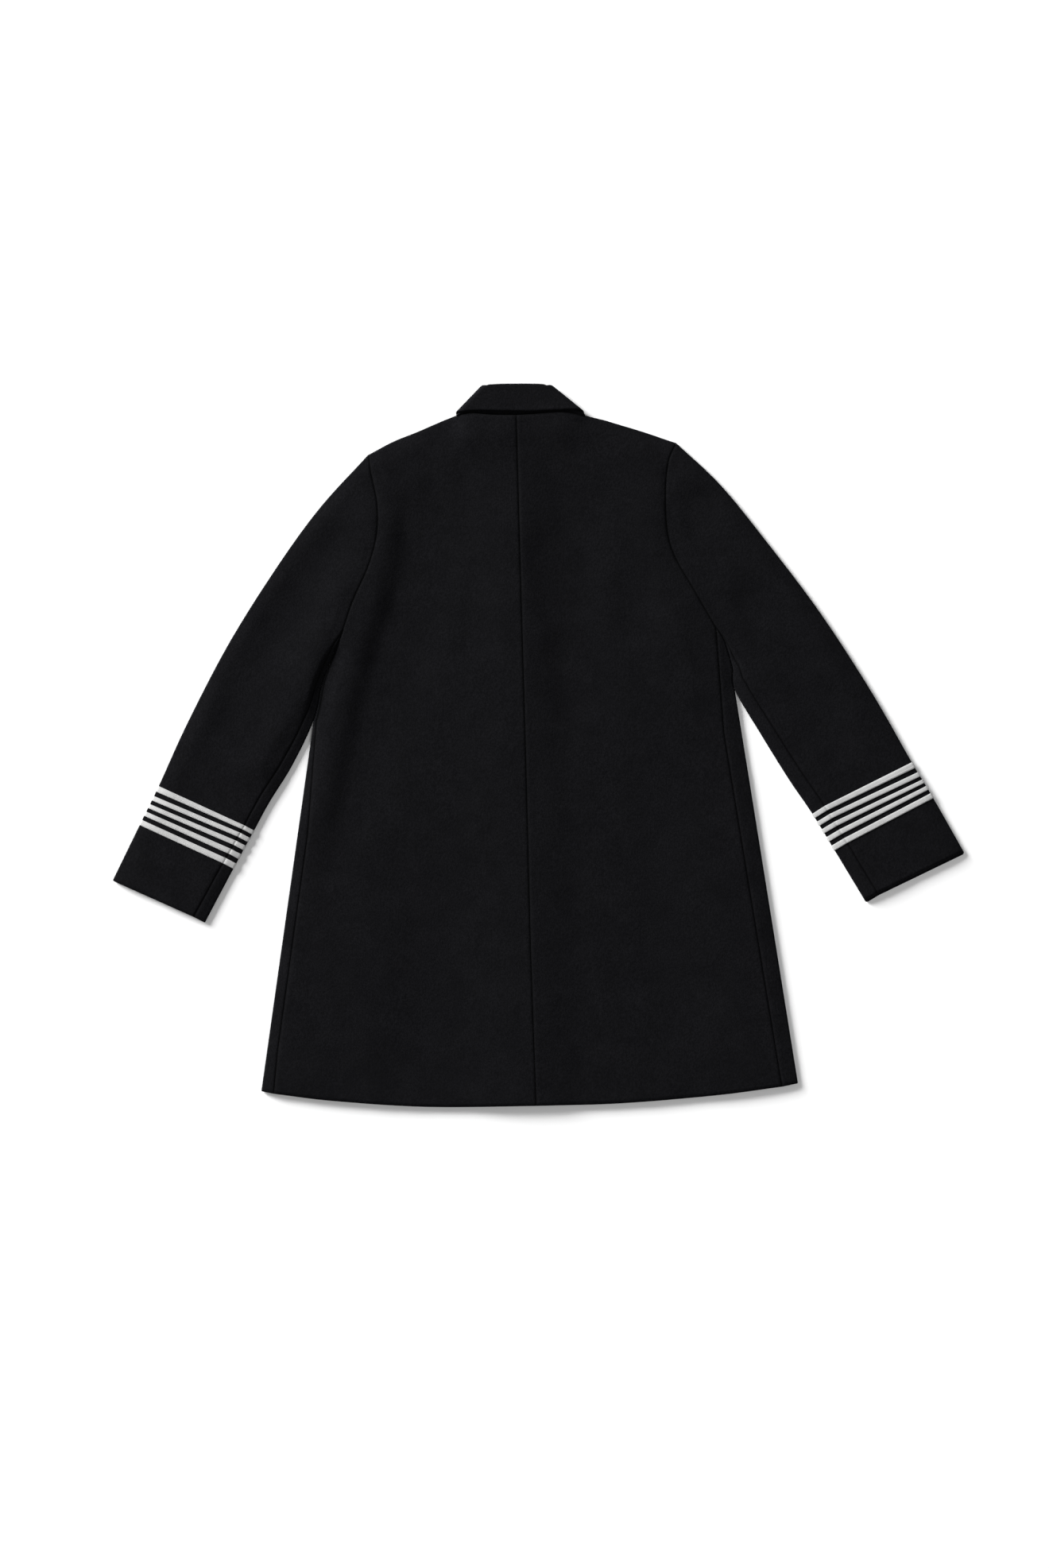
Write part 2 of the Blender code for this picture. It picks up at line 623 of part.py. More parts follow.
def build():
    for obj in list(bpy.data.objects):
        bpy.data.objects.remove(obj, do_unlink=True)
    for hand, side in SIDES.items():
        raised = -1.0 if hand == "left" else 0.0
        cloth(f"back_{hand}", back_half(side), WOOL)
        cloth(f"front_{hand}", front_half(side, raised), WOOL)
        parts = sleeve_parts(sleeve_tube(side))
        for part, patch in parts.items():
            cloth(f"sleeve_{part}_{hand}", [patch], WOOL)
            for n in range(BRAIDS):
                row = len(SLEEVE_ROWS) + 2 * n
                cloth(f"braid_{n + 1}_{part}_{hand}", [patch[row : row + 2]], BRAID,
                      outer=CUFF_LIFT, thickness=BRAID_THICKNESS, roughness=BRAID_ROUGHNESS)
    collar = collar_skin()
    cloth("collar_stand", [collar[:3]], WOOL, trim=3 * SEAM)
    cloth("collar", [collar[2:]], WOOL, trim=SEAM)
    for n, y in enumerate(BUTTON_LINE):
        button(f"button_{n + 1}", y)


build()
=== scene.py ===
"""Sailor coat laid flat on its front and seen from the back: the cloth, braid, floor, light and camera.

The cloth repeats the cut of the solids on a finer grid, with its folds, seams and rounded edges.
Plan sizes and heights are in millimetres; the meshes are in metres.
"""

import json
import math

import bpy
import numpy as np
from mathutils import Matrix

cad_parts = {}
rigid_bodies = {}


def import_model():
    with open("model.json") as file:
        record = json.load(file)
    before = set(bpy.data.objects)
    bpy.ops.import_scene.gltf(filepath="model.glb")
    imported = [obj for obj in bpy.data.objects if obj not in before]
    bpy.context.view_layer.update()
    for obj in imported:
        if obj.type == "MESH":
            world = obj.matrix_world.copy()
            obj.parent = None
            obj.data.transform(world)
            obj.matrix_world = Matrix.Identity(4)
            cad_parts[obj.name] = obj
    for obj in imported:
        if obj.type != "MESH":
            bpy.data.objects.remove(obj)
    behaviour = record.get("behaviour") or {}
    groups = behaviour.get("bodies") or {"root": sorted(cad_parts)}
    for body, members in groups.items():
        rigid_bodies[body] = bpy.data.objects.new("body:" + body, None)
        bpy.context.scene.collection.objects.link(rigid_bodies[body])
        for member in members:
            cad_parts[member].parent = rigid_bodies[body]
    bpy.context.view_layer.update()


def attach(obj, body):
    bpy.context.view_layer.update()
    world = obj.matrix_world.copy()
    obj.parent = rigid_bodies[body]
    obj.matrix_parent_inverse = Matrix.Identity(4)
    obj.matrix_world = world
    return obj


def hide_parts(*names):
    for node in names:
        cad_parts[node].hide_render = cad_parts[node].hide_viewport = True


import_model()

MM = 0.001

# The cut, as in the solids
CLOTH = 2.0
TOP = 7.2
COLLAR_GAP = 0.6
COLLAR_LIFT = CLOTH + COLLAR_GAP
OVERLAP = 22.0
OVERLAP_LIFT = 2.6
BUTTONS = 4
BUTTON_LIFT = 2.9
BRAIDS = 5
BRAID_PITCH = 11.4
BRAID_THICKNESS = 0.7
CUFF_LIFT = 1.0

# Less than in the solids: the tapes, and the gap where a sleeve and the body lie side by side
BRAID_WIDTH = 6.0
GROOVE = 0.15

# The centre seam of the back, which the centre line of the fronts lies under: x, y
CENTRE_SEAM = np.array([(-27, 415), (-23, 263), (-15, -17), (-9, -257), (-2, -453)], float)

SIDES = {
    "left": {
        "hand": -1.0,
        # A row for each section of the sleeve, shoulder to cuff: outer x, outer y, inner x, inner y
        "sleeve": [
            (-214, 365, -257, 116),
            (-275, 298, -271, 80),
            (-330, 222, -282, 32),
            (-389, 128, -309, -25),
            (-441, 28, -338, -72),
            (-477, -51, -357, -107),
            (-501, -100, -383, -155),
            (-535, -170, -419, -223),
        ],
        "shoulder": [(-102, 415), (-122, 407), (-152, 394), (-182, 382), (-214, 365)],
        "armhole": [(-210, 343), (-202, 303), (-203, 263), (-214, 223), (-232, 183), (-246, 142)],
        "shoulder_out": (-0.58, 0.81),
        "groove_out": (-0.28, -0.96),
        "hem_corner": (-348, -435),
        "hem": [(-2, -453), (-137, -454.5), (-257, -447), (-332, -438)],
        # The side seam's distances from the edge down the side, the third one's place, and its straight rows
        "side_seam_inset": (2.0, 4.0, 13.0, 14.0),
        "side_seam_bend": 0.3,
        "straight_rows": 0,
        # Sections of the sleeve, and the hind-arm seam's distance from its inner edge there
        "hind_arm_inset": ((0, 1, 2, 3, 5, 7), (2.5, 4.0, 9.0, 11.0, 11.0, 13.0)),
        "under_cuff_reach": 0.0,
        "collar_axis": ((-68.5, 448.1), (-0.695, -0.72)),
        "collar_out": (-0.72, 0.695),
        "neck_reach": 47.5,
        "fall_reach": (40.0, 42.5, 45.0, 46.5, 49.0),
        "back_neck": [(-27, 415), (-60, 415.5), (-85, 417.5)],
        "back_roll": [(-27, 452.3), (-48, 452.4), (-62, 452.0)],
        "back_fall": [(-27, 420.2), (-50, 420.6), (-80, 420.9)],
    },
    "right": {
        "hand": 1.0,
        "sleeve": [
            (174, 380, 236, 128),
            (229, 328, 244.5, 98),
            (286, 258, 247.5, 70),
            (354, 168, 279, 16),
            (419, 68, 315, -42),
            (470, -21, 345, -86),
            (497, -66, 373, -132),
            (535, -133, 411, -195),
        ],
        "shoulder": [(60, 416), (73, 412), (103, 403), (133, 394), (174, 380)],
        "armhole": [(164, 356), (160.5, 316), (163, 268), (173, 236), (196, 196), (224, 148)],
        "shoulder_out": (0.46, 0.89),
        "groove_out": (0.25, -0.97),
        "hem_corner": (327, -425),
        "hem": [(-2, -453), (103, -450), (223, -440), (307, -429)],
        "side_seam_inset": (12.0, 17.8, 22.0, 20.5),
        "side_seam_bend": 0.1,
        "straight_rows": 36,
        "hind_arm_inset": ((0, 0.7, 1.4, 2, 4, 7), (2.0, 3.0, 10.0, 14.5, 16.0, 16.0)),
        "under_cuff_reach": 3.5,
        "collar_axis": ((16.0, 448.0), (0.777, -0.63)),
        "collar_out": (0.63, 0.777),
        "neck_reach": 54.4,
        "fall_reach": (40.5, 45.0, 49.0, 52.0, 56.0),
        "back_neck": [(-27, 415), (-5, 416.5), (30, 419)],
        "back_roll": [(-27, 452.3), (-8, 452.6), (8, 452.5)],
        "back_fall": [(-27, 420.2), (-5, 420.1), (25, 421.6)],
    },
}

# Sections of the sleeve: the braid's band, the rows beside it and the cuff; its slope, and the first ends
BAND_TOP = 5.0
BAND_END = 6.0
CUFF = 7.0
ABOVE_BAND = 4.9
BELOW_BAND = 6.06
BAND_SLOPE = 0.07
UNDERARM_END = 0.33
SEAM_START = 0.6

# The section up to which a sleeve and the body lie side by side, and how soon each then turns away
BESIDE = 2.0
SLEEVE_FADE = 0.15
SIDE_FADE = 0.03

# Ends of the shoulder and of the side, as shares of them, where they turn towards their neighbours
SHOULDER_END = 0.2
HEM_END = 1 / 9

# The solids' places round the armhole and across each layer of the sleeve, up to the hind-arm seam
TOP_SHARES = (0, 0.127, 0.254, 0.381, 0.508, 0.635, 0.762, 0.885)
UNDER_SHARES = (0, 0.133, 0.267, 0.4, 0.533, 0.667, 0.8, 0.9)
SEAM_PLACE = 7
FOREARM_PLACE = 6

FRONT_NECK_DEPTH = 73.5
FRONT_NECK_LOW = 340.0
FRONT_NECK_POWER = 2.2
FRONT_HEM_RISE = 1.5
FRONT_SCOOP = 9.0
CORNER_SLIP = 4.0

# The hidden front half of the collar, a row for each distance from the centre line: distance,
# roll across as a share of the neck's half width, roll y, fall edge across, fall edge y
FRONT_COLLAR = [
    (0.3, 0.02, 366, 0.64, 316),
    (14, 0.17, 374, 0.79, 328),
    (24, 0.28, 382, 0.89, 342),
    (40, 0.42, 400, 1.00, 362),
    (58, 0.54, 425, 1.05, 388),
]

# The ridge of the back over the closing of the fronts
RIDGE = 3.6
RIDGE_FLAT = 2.0
RIDGE_REACH = {"left": 110.0, "right": 64.0}
RIDGE_END = (350.0, 400.0)

# Where the fronts sink from the collar, from the buttons and from the lap: distance or y, full and gone
COLLAR_SINK = (112.0, 165.0)
COLLAR_FOOT = (-290.0, -240.0)
BUTTON_SINK = (14.0, 56.0)
BUTTON_HEAD = (330.0, 380.0)
BUTTON_FOOT = (60.0, 200.0)
OVERLAP_SINK = (24.0, 40.0)

# Steps of the finer grid
ARM_STEPS = 42
STRIP_STEPS = 5
GROOVE_STEPS = 26
SIDE_STEPS = 96
SHOULDER_STEPS = 36
NECK_STEPS = 16
FRONT_STEPS = 26
CURVE_STEPS = 24
SECTION_STEPS = 24
CUFF_STEPS = 18
TAPE_STEPS = 4
TURN_STEPS = 8
SETTLE_STEPS = 3
ROLL_STATIONS = 6
ROLL_TURNS = 7
FALL_STATIONS = 14
CLOSE_SHARES = (0.15, 0.32, 0.52, 0.75, 1.0)

# Columns of the sleeve's tube from the hind-arm seam over the outer edge to the forearm seam
FOREARM_COLUMN = ARM_STEPS + TURN_STEPS + ARM_STEPS * FOREARM_PLACE // SEAM_PLACE

# The way towards the light that shows up the folds
LIGHT_WAY = np.array([-0.79, 0.61])

# Folds of the upper layer, soft troughs and ridges: from x, y, to x, y, half width, height in FOLD_SCALEs
FOLDS = [
    (-196, 300, -204, 205, 28, 1.2), (-204, 205, -228, 125, 26, 1.4),
    (-228, 125, -250, 18, 21, 1.1), (-250, 18, -274, -90, 18, 0.6),
    (-144, 305, -150, 205, 30, -1.9), (-150, 205, -182, 125, 29, -2.1),
    (-182, 125, -211, 18, 24, -1.8), (-211, 18, -238, -80, 20, -1.2),
    (-238, -80, -256, -170, 18, -0.6), (-80, 230, -86, 110, 14, -0.55),
    (-110, 300, -128, 120, 30, 0.25), (30, 325, 24, 245, 28, -1.7),
    (24, 245, 30, 160, 28, -1.8), (34, 140, 50, 40, 24, -1.0),
    (84, 270, 90, 190, 24, 0.4), (118, 220, 120, 130, 22, -0.9),
    (140, -40, 168, -330, 40, -0.5), (-110, -160, -150, -420, 46, -0.5),
    (-195, -200, -230, -420, 30, 0.4), (225, -150, 250, -410, 26, 0.4),
    (150, 330, 140, 230, 20, 0.4), (-96, 397, 46, 399, 22, 0.95),
    (-104, 386, -30, 388, 22, 0.6), (-100, 344, 20, 344, 24, -1.0),
    (-236, 270, -292, 206, 20, -0.7), (-292, 206, -342, 142, 20, -0.8),
    (-342, 142, -388, 44, 20, -0.7), (-388, 44, -424, -20, 20, -0.4),
    (-246, 204, -268, 140, 18, 0.8), (-268, 140, -308, 45, 18, 1.4),
    (-312, 45, -356, -40, 14, 0.8), (-400, 70, -452, -40, 22, 0.3),
    (196, 320, 206, 262, 16, -0.9), (254, 192, 276, 148, 18, -0.9),
    (276, 148, 331, 78, 18, -1.0), (331, 78, 366, 19, 18, -0.8),
    (366, 19, 384, -20, 18, -0.5), (150, 218, 172, 150, 22, 0.7),
    (172, 150, 196, 55, 22, 0.8), (300, 200, 380, 90, 24, 0.3),
]

# Folds of the layer that the coat lies on, which lift it from the floor
UNDER_FOLDS = [
    (-150, 180, -175, -60, 12, 0.8), (-95, -60, -130, -300, 14, 0.7),
    (120, 200, 150, 20, 12, 0.8), (180, -80, 205, -320, 14, 0.7),
    (-300, 200, -350, 100, 11, 0.8), (-400, 70, -440, -20, 11, 0.6),
    (290, 190, 340, 100, 11, 0.8), (390, 60, 430, -10, 11, 0.6),
]

# Valleys beside the underarms, where both the sleeve and the body sink
VALLEYS = [
    (-208, 340, -202, 300, 5, -0.8), (-202, 300, -204, 262, 5, -0.8),
    (-204, 262, -216, 218, 6, -0.9), (-220, 202, -250, 112, 15, -0.8),
    (-250, 112, -276, 30, 16, -0.8), (-290, 15, -322, -40, 10, -0.6),
    (163, 350, 161, 310, 5, -0.8), (161, 310, 164, 266, 5, -0.8),
    (164, 266, 176, 230, 6, -0.9), (206, 186, 238, 122, 14, -0.8),
    (238, 122, 252, 60, 15, -0.8), (252, 40, 262, -30, 9, -0.6),
]

# How the folds are drawn: height, deepest trough, widths of the gentle side and of the ends, wander
FOLD_SCALE = 3.0
FOLD_LIMIT = 2.6
FOLD_LEAN = 1.7
FOLD_END = 0.83
FOLD_WANDER = 2.0
FOLD_WANDER_RATE = 0.045
UNDER_FOLD_MARGIN = (-30, -8)
UNDER_FOLD_PLACES = (-1.2, -0.3)
WAVE_HEIGHT = 0.3

# Edges and seams: the upper cloth drops towards its turned edges and dips into its seams
EDGE_DROP = 2.0
EDGE_REACH = 22.0
EDGE_ROUND = 0.55
SEAM_DIP = 0.7
SEAM_WIDTH = 1.25
SEAM_GAP = 0.015
SEAM_NEAR = 12
SEWN_WITHIN = 0.4
# Width of the painted shade that darkens the cloth along each seam line
SEAM_SHADE_WIDTH = 1.3
PUCKER_HEIGHT = 0.10
PUCKER_AWAY = 4.5
PUCKER_WIDTH = 2.6
PUCKER_WAVE = 0.8
PUCKER_RATE_X = 0.13
PUCKER_RATE_Y = 0.21
BRAID_DIP = 0.5
BRAID_ROUND = 0.2
FALL_RISE = 1.3
FALL_WAVE = 0.35
FALL_WAVE_RATE = 0.055
FALL_WAVE_START = 0.8

WOOL_DARK = (0.0035, 0.0035, 0.0043)
WOOL_LIGHT = (0.0061, 0.0061, 0.0072)
WOOL_FIBRE = (0.014, 0.014, 0.016)
WOOL_PIT = (0.0010, 0.0010, 0.0013)
# Painted shade: the dark colour laid along the seams, standing in for the shade in their dips
PAINTED_SEAM_SHADE = (0.0008, 0.0008, 0.0009)
BRAID_TONES = [(0.25, (0.30, 0.302, 0.305)), (0.52, (0.47, 0.47, 0.467)), (0.78, (0.61, 0.61, 0.60))]
BRAID_THREAD = (0.30, 0.30, 0.30)
BRAID_SELVAGE = (0.40, 0.40, 0.40)
BUTTON_TONES = [(0.3, (0.008, 0.008, 0.009)), (0.7, (0.022, 0.021, 0.022))]
FLOOR_TONE = (0.96, 0.96, 0.96, 1)

# The weave of the braid, the place of its sewing from each edge, and its stitch
RIB_PITCH = 1.15
WEFT_PITCH = 0.81
SELVAGE = (0.35, 0.75)
SEWING_START = (0.75, 0.95)
SEWING_END = (1.15, 1.35)
STITCH_PITCH = 2.9

FLOOR_SIZE = 40.0
FLOOR_DROP = 0.0004
KEY_LIGHT = {"place": (-10.4, 8.05, 4.6), "size": 6.5, "power": 5300}
FILL_LIGHT = {"place": (1.4, -1.4, 3.6), "size": 3.0, "power": 42}
WORLD_STRENGTH = 0.2
CAMERA_PLACE = (-0.017, -0.0485)
LENS = 100
SENSOR = 36
FRAME_HEIGHT = 1.973

# A length too short to have a direction
SHORT = 1e-6

rng = np.random.default_rng(11)


def wave_table(count, shortest, longest):
    """Rows of a soft unevenness: wave numbers in x and y, phase and strength."""
    length = shortest * (longest / shortest) ** rng.random(count)
    angle = rng.random(count) * np.pi
    number = 2 * np.pi / length
    strength = (length / longest) ** 0.7
    strength /= np.sqrt((strength**2).sum())
    phase = rng.random(count) * 2 * np.pi
    return np.stack([number * np.cos(angle), number * np.sin(angle), phase, strength])


WAVES = wave_table(26, 34.0, 190.0)


def uneven(xy):
    kx, ky, phase, strength = WAVES
    return (np.sin(xy[..., :1] * kx + xy[..., 1:2] * ky + phase) * strength).sum(axis=-1)


def smooth_line(points):
    """Dense points of a smooth curve through the given ones."""
    p = np.array(points, float)
    p = np.vstack([2 * p[0] - p[1], p, 2 * p[-1] - p[-2]])
    t = np.linspace(0, 1, CURVE_STEPS, endpoint=False)[:, None]
    parts = []
    for a, b, c, d in zip(p, p[1:], p[2:], p[3:]):
        bend = (2 * a - 5 * b + 4 * c - d) * t**2 + (3 * b - a - 3 * c + d) * t**3
        parts.append(0.5 * (2 * b + (c - a) * t + bend))
    return np.vstack([*parts, p[-2:-1]])


def shares_along(line):
    run = np.r_[0, np.cumsum(np.linalg.norm(np.diff(line, axis=0), axis=1))]
    return run / run[-1]


def points_at(wanted, run, line):
    return np.stack([np.interp(wanted, run, line[:, k]) for k in (0, 1)], axis=-1)


def at_shares(line, shares):
    return points_at(shares, shares_along(line), line)


def at_sections(points, sections):
    """Points of a smooth curve at fractional positions in its table."""
    line = smooth_line(points)
    return points_at(np.asarray(sections, float) * CURVE_STEPS, np.arange(len(line)), line)


def fade(value, full, gone):
    """1 up to full, 0 past gone, with a soft passage between them."""
    t = np.clip((gone - np.asarray(value, float)) / (gone - full), 0, 1)
    return t * t * (3 - 2 * t)


def unit(vectors):
    vectors = np.asarray(vectors, float)
    return vectors / np.linalg.norm(vectors, axis=-1, keepdims=True)


def normals_away(points, inside):
    """Unit normals of a line in plan, on the side away from the inside points."""
    along = unit(np.gradient(points, axis=0))
    across = np.stack([along[:, 1], -along[:, 0]], axis=-1)
    return across * np.sign(((points - inside) * across).sum())


def near_start(shares, reach):
    """1 at the start of a line, falling to 0 at the share reach."""
    return np.clip(1 - np.asarray(shares, float) / reach, 0, 1)[:, None]


def led(out, share, way):
    """Directions led towards another way by a share of it."""
    return unit(out * (1 - share) + unit(way) * share)


def centre_x(y):
    return np.interp(y, CENTRE_SEAM[::-1, 1], CENTRE_SEAM[::-1, 0])


def folds_at(xy, folds):
    """Height of the soft folds. Each wanders a little, and is steeper where it turns away from the light."""
    height = np.zeros(xy.shape[:-1])
    for x0, y0, x1, y1, width, rise in folds:
        run = np.array([x1 - x0, y1 - y0], float)
        length = np.linalg.norm(run)
        side = np.array([run[1], -run[0]]) / length
        if side @ LIGHT_WAY > 0:
            side = -side
        offset = xy - (x0, y0)
        across = offset @ side + FOLD_WANDER * np.sin(xy[..., 1] * FOLD_WANDER_RATE + x0)
        from_middle = np.abs((offset @ run) / length - length / 2)
        past_end = np.maximum(from_middle - max(length / 2 - FOLD_END * width, 0), 0)
        gentle = (across > 0) == (rise < 0)
        reach = width * np.where(gentle, FOLD_LEAN, 1.0)
        height = height + rise * np.exp(-((across / reach) ** 2) - (past_end / width) ** 2)
    return height


def base_height(xy):
    """Height of the upper outer face over the floor, with the valleys at the underarms."""
    x, y = xy[..., 0], xy[..., 1]
    aside = x - centre_x(y)
    left = fade(-aside, RIDGE_FLAT, RIDGE_REACH["left"])
    right = fade(aside, RIDGE_FLAT, RIDGE_REACH["right"])
    return TOP + RIDGE * np.minimum(left, right) * fade(y, *RIDGE_END) + folds_at(xy, VALLEYS)


def top_field(xy, to_edge):
    """A field of the upper layer, with its folds and its fall towards an edge at a distance."""
    change = FOLD_SCALE * folds_at(xy, FOLDS) + WAVE_HEIGHT * uneven(xy)
    change = np.where(change < 0, FOLD_LIMIT * np.tanh(change / FOLD_LIMIT), change)
    near = np.clip(1 - to_edge / EDGE_REACH, 0, 1)
    return skin(xy, (0, 0), 0.0, 0.0, base_height(xy) + change * (1 - near**2) - EDGE_DROP * near**2)


def edge_height(xy):
    """Height at a turned edge, where the folds die out."""
    return base_height(xy) - EDGE_DROP


def front_height(xy, raised):
    """Height of a front's outer face: over the collar, over the buttons, and over the other front."""
    x, y = xy[..., 0], xy[..., 1]
    aside = np.abs(x - centre_x(y))
    collar = COLLAR_LIFT * fade(aside, *COLLAR_SINK) * fade(-y, *COLLAR_FOOT)
    buttons = BUTTON_LIFT * fade(aside, *BUTTON_SINK) * fade(y, *BUTTON_HEAD) * fade(-y, *BUTTON_FOOT)
    over = OVERLAP_LIFT * fade(raised * (x - centre_x(y)), *OVERLAP_SINK) if raised else 0.0
    return np.maximum(collar, buttons) + over


def skin(xy, out, turn, under, top=None):
    """Points and outward directions: over an edge they turn from the top level to the under level."""
    xy, out = np.broadcast_arrays(np.asarray(xy, float), np.asarray(out, float))
    sine = np.sin(np.radians(turn)) * np.ones(xy.shape[:-1])
    cosine = np.cos(np.radians(turn)) * np.ones(xy.shape[:-1])
    half = ((edge_height(xy) if top is None else top) - under) / 2
    plan = xy + out * (half * sine)[..., None]
    points = np.concatenate([plan, (under + half + half * cosine)[..., None]], axis=-1)
    return np.concatenate([points, out * sine[..., None], cosine[..., None]], axis=-1)


def turned(line, out, first, last, under):
    """The rounded bend along a line: a row for each step between two turns, in degrees."""
    steps = round(abs(last - first) / 180 * TURN_STEPS)
    return np.stack([skin(line, out, turn, under) for turn in np.linspace(first, last, steps + 1)])


def axis_of(edge, out, under):
    """The line that the cloth turns round, for an edge seen in plan."""
    half = (edge_height(edge) - under) / 2
    return edge - out * half[..., None]


def spread(left, right, first, last, shares, power=3.0):
    """Rows straight from left to right, with the bows of the first and last row fading into them."""
    shares = np.broadcast_to(shares, (len(left), len(first)))[..., None]
    rows = left[:, None] + shares * (right - left)[:, None]
    down = ((shares_along(left) + shares_along(right)) / 2)[:, None, None]
    return rows + (first - rows[0]) * (1 - down) ** power + (last - rows[-1]) * down**power


def neck_side(side):
    """Axis point of the neck's side, where the collar seam turns from the back to the front."""
    start, along = np.array(side["collar_axis"][0]), unit(side["collar_axis"][1])
    return start + along * side["neck_reach"]


def half_neck(side):
    """The front neck's half width, from the centre line to the neck's side."""
    return abs(neck_side(side)[0] - centre_x(FRONT_NECK_LOW))


def front_neck(side, distances):
    """The front half of the neck seam at distances from the centre line."""
    share = np.clip(distances, 0, None) / half_neck(side)
    y = FRONT_NECK_LOW + FRONT_NECK_DEPTH * share**FRONT_NECK_POWER
    return np.stack([centre_x(FRONT_NECK_LOW) + side["hand"] * distances, y], axis=-1)


def ring_places():
    """Places round the armhole, counted in the solids' steps: 0 at the shoulder, 8 at the underarm."""
    upper = np.linspace(0, SEAM_PLACE, ARM_STEPS + 1)
    return np.r_[upper, SEAM_PLACE + np.linspace(0, 1, STRIP_STEPS + 1)[1:]]


def armhole_ring(side, front):
    """The armhole from the shoulder's axis to the underarm's axis, on the back or on the front."""
    outer, inner = np.array(side["sleeve"][0], float).reshape(2, 2)
    top = axis_of(outer, unit(side["shoulder_out"]), 0.0)
    low = axis_of(inner, unit(side["groove_out"]), 0.0)
    places = ring_places()
    upper = at_shares(smooth_line([top, *side["armhole"]]), places[: ARM_STEPS + 1] / SEAM_PLACE)
    strip = upper[-1] + (low - upper[-1]) * (places[ARM_STEPS + 1 :] - SEAM_PLACE)[:, None]
    ring = np.vstack([upper, strip])
    if front:
        ring[:, 0] -= side["hand"] * FRONT_SCOOP * np.sin(np.pi * np.minimum(places / SEAM_PLACE, 1)) ** 2
    return ring


def shoulder_lines(side):
    """Axis points and outward directions of the shoulder edge, from the neck to the sleeve."""
    shares = np.linspace(0, 1, SHOULDER_STEPS + 1)
    edge = at_shares(smooth_line(side["shoulder"]), shares)
    at_neck = near_start(shares, SHOULDER_END)
    at_sleeve = near_start(1 - shares, SHOULDER_END)
    out = normals_away(edge, edge - (0, 10)) * (1 - at_neck - at_sleeve)
    out = unit(out + unit(side["collar_out"]) * at_neck + unit(side["shoulder_out"]) * at_sleeve)
    under = front_height(edge, 0.0)
    axis = axis_of(edge, out, under)
    to_neck = neck_side(side) - axis[0]
    to_sleeve = armhole_ring(side, False)[0] - axis[-1]
    return axis + at_neck * to_neck + at_sleeve * to_sleeve, out, under


def side_lines(side):
    """The body's side from the underarm to the hem: axis points, outward directions and seam points."""
    inner = [row[2:] for row in side["sleeve"]]
    sections = np.linspace(0, BESIDE, GROOVE_STEPS + 1)
    groove = at_sections(inner, sections)
    run = np.linspace(0, 1, SIDE_STEPS + 1)[1:]
    edge = np.vstack([groove, groove[-1] + (side["hem_corner"] - groove[-1]) * run[:, None]])
    at_arm = np.vstack([near_start(sections, UNDERARM_END), np.zeros((SIDE_STEPS, 1))])
    at_hem = np.vstack([np.zeros((GROOVE_STEPS + 1, 1)), near_start(1 - run, HEM_END)])
    out = led(normals_away(edge, edge - (side["hand"] * 10, 0)), at_arm, side["groove_out"])
    beside = np.r_[np.ones(GROOVE_STEPS + 1), fade(run, 0.0, SIDE_FADE)]
    edge = edge - out * (GROOVE / 2 * beside)[:, None] * (1 - at_arm)
    axis = axis_of(edge, out, 0.0)
    insets = side["side_seam_inset"]
    beside_arm = np.interp(sections, (UNDERARM_END, BESIDE), insets[:2])
    below_arm = np.interp(run, (0, side["side_seam_bend"], 1), insets[1:])
    seam = edge - out * np.r_[beside_arm, below_arm][:, None]
    seam = seam + at_arm * (armhole_ring(side, False)[ARM_STEPS] - seam[0])
    seam = seam + at_hem * (side["hem"][-1] - seam[-1])
    straight = side["straight_rows"]
    if straight:
        shares = shares_along(edge[: straight + 1])[:-1, None]
        seam[:straight] = seam[0] + shares * (seam[straight] - seam[0])
    return axis, out, seam


def back_half(side):
    """One half of the back: its field, and the turn over the shoulder down to the shoulder seam."""
    axis, out, under = shoulder_lines(side)
    side_axis, _, seam = side_lines(side)
    neck = at_shares(smooth_line([*side["back_neck"], axis[0]]), np.linspace(0, 1, NECK_STEPS + 1))
    first = np.vstack([neck[:-1], axis])
    outside = np.vstack([armhole_ring(side, False)[: ARM_STEPS + 1], seam[1:]])
    centre = at_shares(CENTRE_SEAM, shares_along(outside))
    shares = np.linspace(0, 1, len(first))
    last = at_shares(smooth_line(side["hem"]), shares)
    plan = spread(centre, outside, first, last, shares)
    field = top_field(plan, far_from(plan, side_axis, axis[2:]))
    over_shoulder = turned(axis, out, 90, 0, under)
    settle_turn(over_shoulder[::-1], field[0, NECK_STEPS:, 2])
    return [field, over_shoulder]


def far_from(plan, *lines):
    """Distance of each point in plan from the nearest point of some lines."""
    found = np.full(plan.shape[:-1], np.inf)
    for line in lines:
        for point in at_shares(line, np.linspace(0, 1, 4 * len(line))):
            found = np.minimum(found, np.linalg.norm(plan - point, axis=-1))
    return found


def settle_turn(turns, level):
    """Carries the level of the field's edge over the first steps of the turn beside it."""
    change = level - turns[0][..., 2]
    for step, rows in enumerate(turns):
        rows[..., 2] += change * max(0.0, 1 - step / SETTLE_STEPS)


